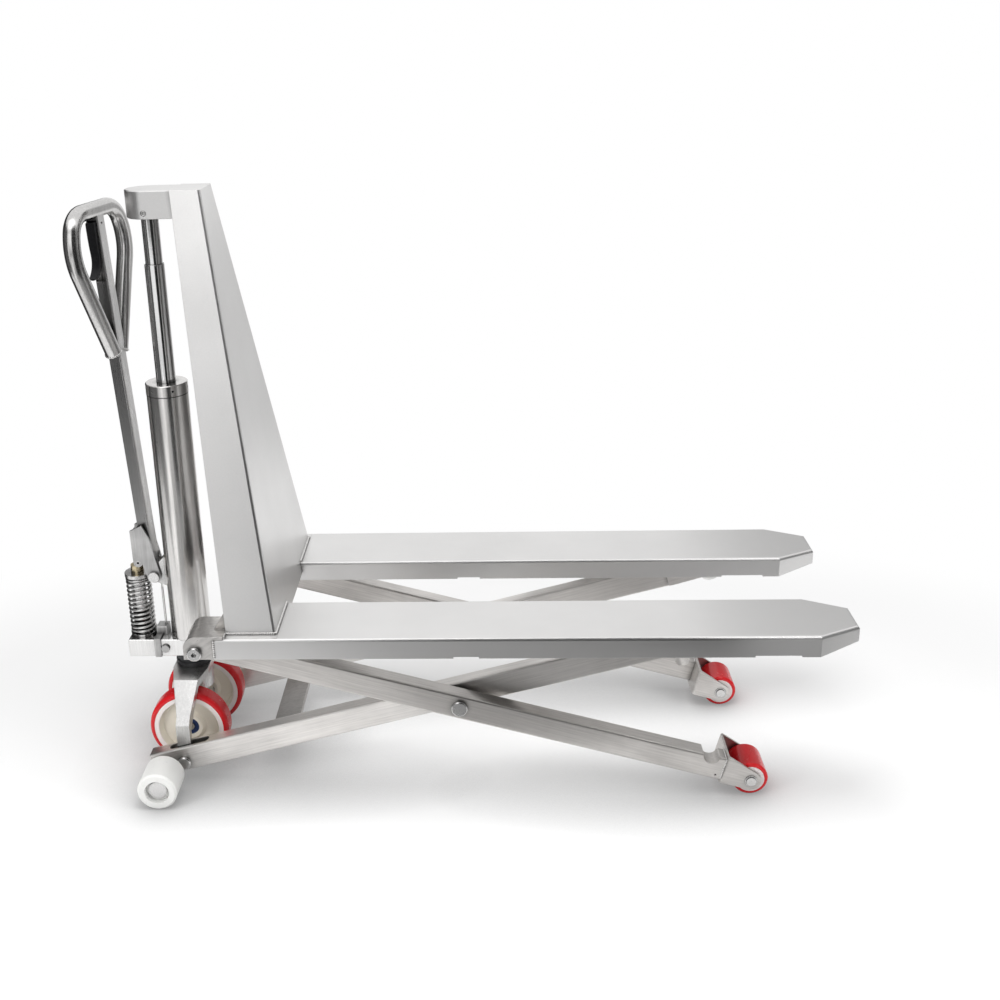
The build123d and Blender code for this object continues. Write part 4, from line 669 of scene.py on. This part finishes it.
finish["red_tyre"] = plastic("red_tyre", (0.62, 0.008, 0.013), (0.50, 0.02, 0.02), (0.24, 0.42),
                             shine=0.40)
finish["cream_nylon"] = plastic("cream_nylon", (0.90, 0.84, 0.73), (0.80, 0.75, 0.64), (0.35, 0.5))
repaint(finish["cream_nylon"], rim_beyond(pivot["steer_wheel_right_spin"], LIP_RADIUS), LIP_COLOUR)
finish["pale_core"] = plastic("pale_core", (0.80, 0.73, 0.72), (0.70, 0.63, 0.62), (0.4, 0.55))
finish["white_nylon"] = plastic("white_nylon", (0.83, 0.83, 0.81), (0.73, 0.73, 0.71), (0.38, 0.52))
finish["blue_seal"] = plastic("blue_seal", (0.010, 0.028, 0.10), (0.03, 0.05, 0.13), (0.3, 0.5))
finish["black_plastic"] = plastic("black_plastic", (0.006, 0.006, 0.007), (0.02, 0.02, 0.02), (0.34, 0.5),
                                  shine=0.22)
finish["dark_bearing"] = plastic("dark_bearing", (0.018, 0.018, 0.02), (0.05, 0.05, 0.05), (0.4, 0.6))
print("plastics:", [name for name in finish if "nylon" in name or "tyre" in name])

# %% [markdown]
# ## Dressing the CAD pieces
# Every solid keeps its shape and only changes its finish. The record says which slot each one has,
# and the legs take the steel whose streaks run along their own slope.

# %% Finishes into the slots
OWN_FINISH = {
    "steer_bridge": bridge_steel, "handle_shaft": shaft_steel, "handle_loop": loop_steel,
    "leg_cross_plate": plate_steel, "pump_plunger": button_steel, "ram_barrel": barrel_steel,
    "barrel_gland": barrel_steel, "handle_clevis": clevis_steel, "valve_clip": clip_steel,
    "release_valve": clip_steel,
}


def finish_for(node):
    if node.startswith("outer_leg") or node.startswith("roller_bracket"):
        return outer_brushed
    if node.startswith("inner_leg") or node.startswith("slide_arm"):
        return inner_brushed
    if node.startswith("pivot_bracket"):
        return ground_steel
    return OWN_FINISH.get(node) or finish[slot_of[node]]


for node, solid in frame["nodes"].items():
    solid.data.materials.clear()
    solid.data.materials.append(finish_for(node))
print("dressed", len(frame["nodes"]), "solids")

# %% [markdown]
# ## Pump spring
# The return spring is one wire wound into thirteen turns, with its end turns laid close so that they
# stand flat on the seat and under the cap. A Geometry Nodes tree fits such a rule: points along a
# line are lifted onto a helix whose pitch changes near the ends, and a circle is swept along it.

# %% Spring tree
SPRING_TURNS = 13
SPRING_POINTS = SPRING_TURNS * 32
SPRING_WIRE = 0.0058
SPRING_SIDES = 12
END_SHARE = 0.08
END_RISE = 0.045


def geometry_tree(name, inputs):
    tree = bpy.data.node_groups.new(name, "GeometryNodeTree")
    sockets = {}
    for label, kind, value in inputs:
        socket = tree.interface.new_socket(label, in_out="INPUT", socket_type=kind)
        if value is not None:
            socket.default_value = value
        sockets[label] = socket.identifier
    tree.interface.new_socket("Geometry", in_out="OUTPUT", socket_type="NodeSocketGeometry")
    return tree, sockets, tree.nodes.new("NodeGroupInput"), tree.nodes.new("NodeGroupOutput")


def smooth_and_dress(tree, made, given, out):
    real = add(tree, "GeometryNodeRealizeInstances", {"Geometry": made.outputs[0]})
    smooth = add(tree, "GeometryNodeSetShadeSmooth", {"Geometry": real.outputs[0]})
    dressed = add(tree, "GeometryNodeSetMaterial", {
        "Geometry": smooth.outputs[0], "Material": given.outputs["Finish"],
    })
    tree.links.new(dressed.outputs[0], out.inputs[0])


def ramp(tree, value, from_min, from_max, to_max):
    made = add(tree, "ShaderNodeMapRange", {
        "Value": value, "From Min": from_min, "From Max": from_max, "To Min": 0.0, "To Max": to_max,
    })
    return made.outputs[0]


def spring_tree():
    tree, sockets, given, out = geometry_tree("wound_spring", [
        ("Radius", FLOAT, 0.023), ("Wire", FLOAT, SPRING_WIRE), ("Turns", FLOAT, float(SPRING_TURNS)),
        ("Foot", VECTOR, (0.0, 0.0, 0.0)), ("Height", FLOAT, 0.13),
        ("Finish", "NodeSocketMaterial", None),
    ])
    line = add(tree, "GeometryNodeMeshLine", {"Count": SPRING_POINTS})
    index = add(tree, "GeometryNodeInputIndex")
    share = math_node(tree, "DIVIDE", index.outputs[0], SPRING_POINTS - 1.0)
    full_turns = math_node(tree, "MULTIPLY", given.outputs["Turns"], 2 * math.pi)
    angle = math_node(tree, "MULTIPLY", share, full_turns)
    low = ramp(tree, share, 0.0, END_SHARE, END_RISE)
    middle = ramp(tree, share, END_SHARE, 1 - END_SHARE, 1 - 2 * END_RISE)
    high = ramp(tree, share, 1 - END_SHARE, 1.0, END_RISE)
    climbed = math_node(tree, "ADD", math_node(tree, "ADD", low, middle), high)
    x = math_node(tree, "MULTIPLY", math_node(tree, "COSINE", angle), given.outputs["Radius"])
    y = math_node(tree, "MULTIPLY", math_node(tree, "SINE", angle), given.outputs["Radius"])
    z = math_node(tree, "MULTIPLY", climbed, given.outputs["Height"])
    helix = add(tree, "ShaderNodeCombineXYZ", {0: x, 1: y, 2: z})
    place = add(tree, "ShaderNodeVectorMath",
                {0: helix.outputs[0], 1: given.outputs["Foot"]}, operation="ADD")
    wound = add(tree, "GeometryNodeSetPosition", {"Geometry": line.outputs[0], "Position": place.outputs[0]})
    curve = add(tree, "GeometryNodeMeshToCurve", {"Mesh": wound.outputs[0]})
    half = math_node(tree, "MULTIPLY", given.outputs["Wire"], 0.5)
    section = add(tree, "GeometryNodeCurvePrimitiveCircle", {"Resolution": SPRING_SIDES, "Radius": half})
    wire = add(tree, "GeometryNodeCurveToMesh", {
        "Curve": curve.outputs[0], "Profile Curve": section.outputs[0], "Fill Caps": True,
    })
    smooth_and_dress(tree, wire, given, out)
    return tree, sockets


# %% A plain mesh from a tree
def line_mesh(name, lines):
    points = [point for line in lines for point in line]
    starts = [sum(len(line) for line in lines[:i]) for i in range(len(lines))]
    edges = [(s + i, s + i + 1) for s, line in zip(starts, lines) for i in range(len(line) - 1)]
    mesh = bpy.data.meshes.new(name)
    mesh.from_pydata(points, edges, [])
    return mesh


def grow(name, tree, sockets, values, lines=()):
    holder = bpy.data.objects.new(name + "_holder", line_mesh(name + "_holder", lines))
    bpy.context.scene.collection.objects.link(holder)
    modifier = holder.modifiers.new("tree", "NODES")
    modifier.node_group = tree
    for label, value in values.items():
        modifier[sockets[label]] = value
    holder.update_tag()
    bpy.context.view_layer.update()
    evaluated = holder.evaluated_get(bpy.context.evaluated_depsgraph_get())
    mesh = bpy.data.meshes.new_from_object(evaluated)
    holder.modifiers.remove(modifier)
    bpy.data.objects.remove(holder)
    mesh.name = name
    piece = bpy.data.objects.new(name, mesh)
    bpy.context.scene.collection.objects.link(piece)
    return piece


def outward(piece):
    shape = bmesh.new()
    shape.from_mesh(piece.data)
    bmesh.ops.remove_doubles(shape, verts=shape.verts, dist=1e-6)
    bmesh.ops.recalc_face_normals(shape, faces=shape.faces)
    shape.to_mesh(piece.data)
    shape.free()


WOUND_SPRING, SPRING_SOCKETS = spring_tree()
spring_low, spring_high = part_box("pump_spring")
spring_radius = (spring_high.y - spring_low.y - SPRING_WIRE) / 2
spring_foot = Vector(((spring_low.x + spring_high.x) / 2, 0.0, spring_low.z + SPRING_WIRE / 2))
spring = grow("wound_pump_spring", WOUND_SPRING, SPRING_SOCKETS, {
    "Radius": spring_radius, "Wire": SPRING_WIRE, "Turns": float(SPRING_TURNS), "Foot": spring_foot,
    "Height": spring_high.z - spring_low.z - SPRING_WIRE, "Finish": finish["spring_wire"],
})
outward(spring)
print("spring:", len(spring.data.polygons), "faces")

# %% Spring into the pump
plunger = next(j for j in frame["joints"] if j["name"] == "plunger_slide")
stroke = -min(plunger["range_m"])
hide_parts("pump_spring")
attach(spring, "steer_unit")
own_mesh(spring)

# %% [markdown]
# ## Weld beads
# The frame is welded from sheet and tube, and its seams stand out as thin rippled beads. Each seam is
# drawn as a line of points, and one Geometry Nodes tree sweeps a round section along it whose size
# swells and shrinks as a welder's hand moves. Modelling ripples by hand would take far longer, and a
# bump alone would leave the bead flat in the mesh.

# %% Bead tree
BEAD_STEP = 0.0011
BEAD_SIDES = 8
SWELL = 0.16
WANDER = 0.0008
WANDER_SCALE = 90.0
RIPPLE_LENGTH = 0.0045


def bead_tree():
    tree, sockets, given, out = geometry_tree("weld_bead", [
        ("Seams", "NodeSocketGeometry", None), ("Radius", FLOAT, 0.003), ("Ripple", FLOAT, RIPPLE_LENGTH),
        ("Finish", "NodeSocketMaterial", None),
    ])
    curve = add(tree, "GeometryNodeMeshToCurve", {"Mesh": given.outputs["Seams"]})
    fine = add(tree, "GeometryNodeResampleCurve",
               {"Curve": curve.outputs[0], "Length": BEAD_STEP}, mode="LENGTH")
    along = add(tree, "GeometryNodeSplineParameter")
    wave = math_node(tree, "DIVIDE", along.outputs["Length"], given.outputs["Ripple"])
    phase = math_node(tree, "MULTIPLY", wave, 2 * math.pi)
    swell = math_node(tree, "MULTIPLY", math_node(tree, "SINE", phase), SWELL)
    size = math_node(tree, "ADD", swell, 1.0)
    unsteady = add(tree, "ShaderNodeTexNoise", {"Scale": WANDER_SCALE, "Detail": 1.0})
    centred = add(tree, "ShaderNodeVectorMath",
                  {0: unsteady.outputs["Color"], 1: (0.5, 0.5, 0.5)}, operation="SUBTRACT")
    wander = add(tree, "ShaderNodeVectorMath",
                 {0: centred.outputs[0], "Scale": WANDER}, operation="SCALE")
    moved = add(tree, "GeometryNodeSetPosition", {"Geometry": fine.outputs[0], "Offset": wander.outputs[0]})
    section = add(tree, "GeometryNodeCurvePrimitiveCircle",
                  {"Resolution": BEAD_SIDES, "Radius": given.outputs["Radius"]})
    bead = add(tree, "GeometryNodeCurveToMesh", {
        "Curve": moved.outputs[0], "Profile Curve": section.outputs[0], "Scale": size, "Fill Caps": True,
    })
    smooth_and_dress(tree, bead, given, out)
    return tree, sockets


WELD_BEAD, BEAD_SOCKETS = bead_tree()
print("bead tree:", len(WELD_BEAD.nodes), "nodes")


# %% Seams of the fork frame
def mirrored(line):
    return [Vector((p.x, -p.y, p.z)) for p in line]


def both_sides(lines):
    return lines + [mirrored(line) for line in lines]


fork_low, fork_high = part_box("fork_left")
shield_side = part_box("load_shield")[1].y
bracket_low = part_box("pivot_bracket_left")[0]
head_low, head_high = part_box("ram_head")
SEAM_INSET = 0.004
CORNER_SINK = 0.0012
LAP_RISE = 0.001
HEAD_SINK = 0.0005
HEAD_INSET = 0.001
SHIELD_FRONT = -0.3918
SHIELD_REAR = -0.4948
LAP_EDGE = -0.4965
SHIELD_SLOPE = 0.080 / 0.875
fork_top = fork_high.z
fork_side = fork_high.y


def shield_rear(z):
    return SHIELD_REAR - SHIELD_SLOPE * (z - fork_top)


def upright(x, y, low, high):
    return [Vector((x, y, low)), Vector((x, y, high))]


fork_seams = both_sides([
    [Vector((SHIELD_REAR, shield_side, fork_top)), Vector((SHIELD_FRONT, shield_side, fork_top)),
     Vector((SHIELD_FRONT, fork_low.y + SEAM_INSET, fork_top))],
    upright(fork_low.x, fork_side - CORNER_SINK, fork_low.z + SEAM_INSET, fork_top - LAP_RISE),
    [Vector((LAP_EDGE, fork_side - SEAM_INSET, fork_top + LAP_RISE)),
     Vector((LAP_EDGE, bracket_low.y, fork_top + LAP_RISE))],
])
head_ends = (head_low.z + HEAD_INSET, head_high.z - HEAD_INSET)
head_seams = both_sides([
    [Vector((shield_rear(z) - HEAD_SINK, head_high.y - HEAD_SINK, z)) for z in head_ends],
])
print("fork seams:", len(fork_seams), "head seams:", len(head_seams))


# %% Seams of the legs
OUTER_TILT = math.radians(1.0)
BRACKET_ALONG = 0.570
LEG_HALF = 0.026
LEG_SINK = 0.0014
LEG_END = 0.003
PLATE_HALF = 0.030
PLATE_THICK = 0.008
leg_low, leg_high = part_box("outer_leg_left")
outer_slope = outer_turn + OUTER_TILT
leg_along = Vector((math.cos(outer_slope), 0, math.sin(outer_slope)))
leg_up = Vector((-math.sin(outer_slope), 0, math.cos(outer_slope)))


def leg_point(along, up, y):
    return pivot["centre_turn"] + leg_along * along + leg_up * up + Vector((0, y, 0))


outer_seams = both_sides([[
    leg_point(BRACKET_ALONG, SEAM_INSET - LEG_HALF, leg_high.y - LEG_SINK),
    leg_point(BRACKET_ALONG, LEG_HALF - LEG_SINK, leg_high.y - LEG_SINK),
    leg_point(BRACKET_ALONG, LEG_HALF - LEG_SINK, leg_low.y + LEG_END),
]])
plate_low, plate_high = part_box("leg_cross_plate")
plate_middle = (plate_low + plate_high) / 2
plate_along = Vector((math.cos(inner_turn), 0, math.sin(inner_turn)))
plate_up = Vector((-math.sin(inner_turn), 0, math.cos(inner_turn)))


def plate_edge(side):
    start = plate_middle + plate_up * side * PLATE_THICK / 2 + Vector((0, plate_high.y, 0))
    return [start - plate_along * PLATE_HALF, start + plate_along * PLATE_HALF]


inner_seams = both_sides([plate_edge(1), plate_edge(-1)])
print("leg seams:", len(outer_seams), "outer,", len(inner_seams), "inner")


# %% Seams of the pump and the handle
RING_STEPS = 40
PUMP_INSET = 0.002


def arc(centre, across, axis, radius, start=0.0, sweep=2 * math.pi):
    other = axis.normalized().cross(across)
    turns = [start + sweep * i / RING_STEPS for i in range(RING_STEPS + 1)]
    return [centre + (across * math.cos(a) + other * math.sin(a)) * radius for a in turns]


barrel_low, barrel_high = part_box("ram_barrel")
lugs_low, lugs_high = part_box("handle_lugs")
barrel_radius = (barrel_high.x - barrel_low.x) / 2
barrel_foot = Vector(((barrel_low.x + barrel_high.x) / 2, 0, barrel_low.z))
lug_root = barrel_foot.x - math.sqrt(barrel_radius ** 2 - lugs_high.y ** 2)
block_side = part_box("pump_block")[1].y
foot_half = math.asin((block_side - PUMP_INSET) / barrel_radius)
pump_seams = [arc(barrel_foot, Vector((-1, 0, 0)), Vector((0, 0, 1)), barrel_radius,
                  -foot_half, 2 * foot_half)]
pump_seams += both_sides([upright(lug_root, lugs_high.y, lugs_low.z + PUMP_INSET, lugs_high.z - PUMP_INSET)])

LIMB_END = Vector((0, 0.014, 0.512))
LIMB_RUN = Vector((0, 0.094, 0.217))
LIMB_RADIUS = 0.0165
limb_ring = arc(LIMB_END, Vector((1, 0, 0)), LIMB_RUN, LIMB_RADIUS)
handle_seams = [[handle_place @ p for p in line] for line in both_sides([limb_ring])]
print("pump seams:", len(pump_seams), "handle seams:", len(handle_seams))

# %% Beads onto their bodies
# Each group of beads: body, seams, bead radius
WELDS = {
    "fork_welds": ("fork_frame", fork_seams, 0.0034),
    "head_welds": ("fork_frame", head_seams, 0.0016),
    "outer_leg_welds": ("outer_legs", outer_seams, 0.0022),
    "cross_plate_welds": ("inner_legs", inner_seams, 0.0030),
    "pump_welds": ("steer_unit", pump_seams, 0.0020),
    "handle_welds": ("handle", handle_seams, 0.0022),
}
for name, (body, seams, radius) in WELDS.items():
    bead = grow(name, WELD_BEAD, BEAD_SOCKETS, {"Radius": radius, "Finish": weld_metal}, seams)
    outward(bead)
    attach(bead, body)
    print(name, len(bead.data.polygons), "faces")

# %% [markdown]
# ## Set screw
# A socket screw locks the ram rod in its head. It is turned round outside and has six flats inside,
# so a stack of rings with the same number of points, round or six-sided, is joined side to side.

# %% Socket screw in the ram head
SCREW_STEPS = 48
SCREW_HEIGHT = 1.229
HEX_HALF = 0.0029
# Each ring: radius, depth below the recess's rim, six-sided or round
SCREW_RINGS = [
    (0.0056, 0.0040, False), (0.0056, 0.0014, False), (0.0050, 0.0008, False),
    (0.0036, 0.0008, False), (HEX_HALF, 0.0010, True), (HEX_HALF, 0.0034, True), (0.0004, 0.0037, False),
]


def hex_reach(angle):
    flat = math.pi / 3
    return 1 / math.cos(angle % flat - flat / 2)


def socket_screw(name, centre):
    shape = bmesh.new()
    rings = []
    for radius, depth, six_sided in SCREW_RINGS:
        row = []
        for i in range(SCREW_STEPS):
            angle = 2 * math.pi * i / SCREW_STEPS
            reach = radius * (hex_reach(angle) if six_sided else 1)
            offset = Vector((reach * math.cos(angle), depth, reach * math.sin(angle)))
            row.append(shape.verts.new(centre + offset))
        rings.append(row)
    for outer, inner in zip(rings, rings[1:]):
        for i in range(SCREW_STEPS):
            j = (i + 1) % SCREW_STEPS
            shape.faces.new((outer[i], outer[j], inner[j], inner[i]))
    shape.faces.new(rings[0])
    shape.faces.new(rings[-1])
    bmesh.ops.recalc_face_normals(shape, faces=shape.faces)
    mesh = bpy.data.meshes.new(name)
    shape.to_mesh(mesh)
    shape.free()
    mesh.materials.append(finish["bright_pins"])
    screw = bpy.data.objects.new(name, mesh)
    bpy.context.scene.collection.objects.link(screw)
    return screw


screw = socket_screw("head_set_screw", Vector((barrel_foot.x, head_low.y, SCREW_HEIGHT)))
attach(screw, "fork_frame")
print("set screw:", len(screw.data.polygons), "faces")

# %% [markdown]
# ## Release chain
# Pulling the trigger lifts a wire inside the shaft, and a short chain carries that pull past the pivot
# to the release rod. Links repeat along a path, each a quarter turn from the last, so a Geometry Nodes
# tree sweeps one oval link and sets copies of it on points along the line. The chain bends at the
# handle's pivot. One more link is the eye on the rod's end. It hooks into the chain's first link with
# room to rise when the rod does.

# %% Chain tree
LINK_SIDES = 8
LINK_LENGTH = 0.0145
LINK_WIDTH = 0.0078
LINK_WIRE = 0.0018
LINK_SLACK = 0.0002
LINK_BEND = 0.499
BEND_STEPS = 7
LINK_PITCH = LINK_LENGTH - 2 * LINK_WIRE - LINK_SLACK


def chain_tree():
    tree, sockets, given, out = geometry_tree("release_chain", [
        ("Path", "NodeSocketGeometry", None), ("Pitch", FLOAT, LINK_PITCH), ("Length", FLOAT, LINK_LENGTH),
        ("Width", FLOAT, LINK_WIDTH), ("Wire", FLOAT, LINK_WIRE), ("First Turn", FLOAT, math.pi / 4),
        ("Finish", "NodeSocketMaterial", None),
    ])
    curve = add(tree, "GeometryNodeMeshToCurve", {"Mesh": given.outputs["Path"]})
    spots = add(tree, "GeometryNodeCurveToPoints",
                {"Curve": curve.outputs[0], "Length": given.outputs["Pitch"]}, mode="LENGTH")
    width = math_node(tree, "SUBTRACT", given.outputs["Width"], given.outputs["Wire"])
    length = math_node(tree, "SUBTRACT", given.outputs["Length"], given.outputs["Wire"])
    frame_line = add(tree, "GeometryNodeCurvePrimitiveQuadrilateral", {"Width": width, "Height": length})
    bend = math_node(tree, "MULTIPLY", width, LINK_BEND)
    oval = add(tree, "GeometryNodeFilletCurve",
               {"Curve": frame_line.outputs[0], "Count": BEND_STEPS, "Radius": bend}, mode="POLY")
    half = math_node(tree, "MULTIPLY", given.outputs["Wire"], 0.5)
    section = add(tree, "GeometryNodeCurvePrimitiveCircle", {"Resolution": LINK_SIDES, "Radius": half})
    link = add(tree, "GeometryNodeCurveToMesh",
               {"Curve": oval.outputs[0], "Profile Curve": section.outputs[0]})
    stood = add(tree, "GeometryNodeTransform",
                {"Geometry": link.outputs[0], "Rotation": (math.pi / 2, 0, 0)})
    index = add(tree, "GeometryNodeInputIndex")
    quarters = math_node(tree, "MULTIPLY", index.outputs[0], math.pi / 2)
    turn = math_node(tree, "ADD", quarters, given.outputs["First Turn"])
    spin = add(tree, "ShaderNodeCombineXYZ", {2: turn})
    linked = add(tree, "GeometryNodeInstanceOnPoints", {
        "Points": spots.outputs["Points"], "Instance": stood.outputs[0], "Rotation": spin.outputs[0],
    })
    smooth_and_dress(tree, linked, given, out)
    return tree, sockets


# %% Chain past the handle pivot
CHAIN_LEAD = 0.0125
CHAIN_RISE = 0.006
EYE_SEAT = 0.002
rod_low, rod_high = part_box("release_rod")
shaft_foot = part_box("handle_shaft")[0].z
eye_centre = Vector(((rod_low.x + rod_high.x) / 2, 0.0, rod_high.z - EYE_SEAT + LINK_LENGTH / 2))
chain_foot = eye_centre + Vector((0, 0, LINK_PITCH))
chain_bend = pivot["pump_handle"] + Vector((CHAIN_LEAD, 0, CHAIN_RISE))
chain_top = Vector((eye_centre.x, 0.0, shaft_foot))
RELEASE_CHAIN, CHAIN_SOCKETS = chain_tree()
chain = grow("release_chain", RELEASE_CHAIN, CHAIN_SOCKETS,
             {"Finish": finish["bright_pins"]}, [[chain_foot, chain_bend, chain_top]])
outward(chain)
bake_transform(chain)
eye = grow("rod_eye", RELEASE_CHAIN, CHAIN_SOCKETS,
           {"Finish": finish["bright_pins"], "First Turn": -math.pi / 4},
           [[eye_centre, eye_centre + Vector((0, 0, LINK_WIRE))]])
outward(eye)
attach(eye, "release_rod")
print("chain:", len(chain.data.polygons), "faces; eye:", len(eye.data.polygons), "faces")
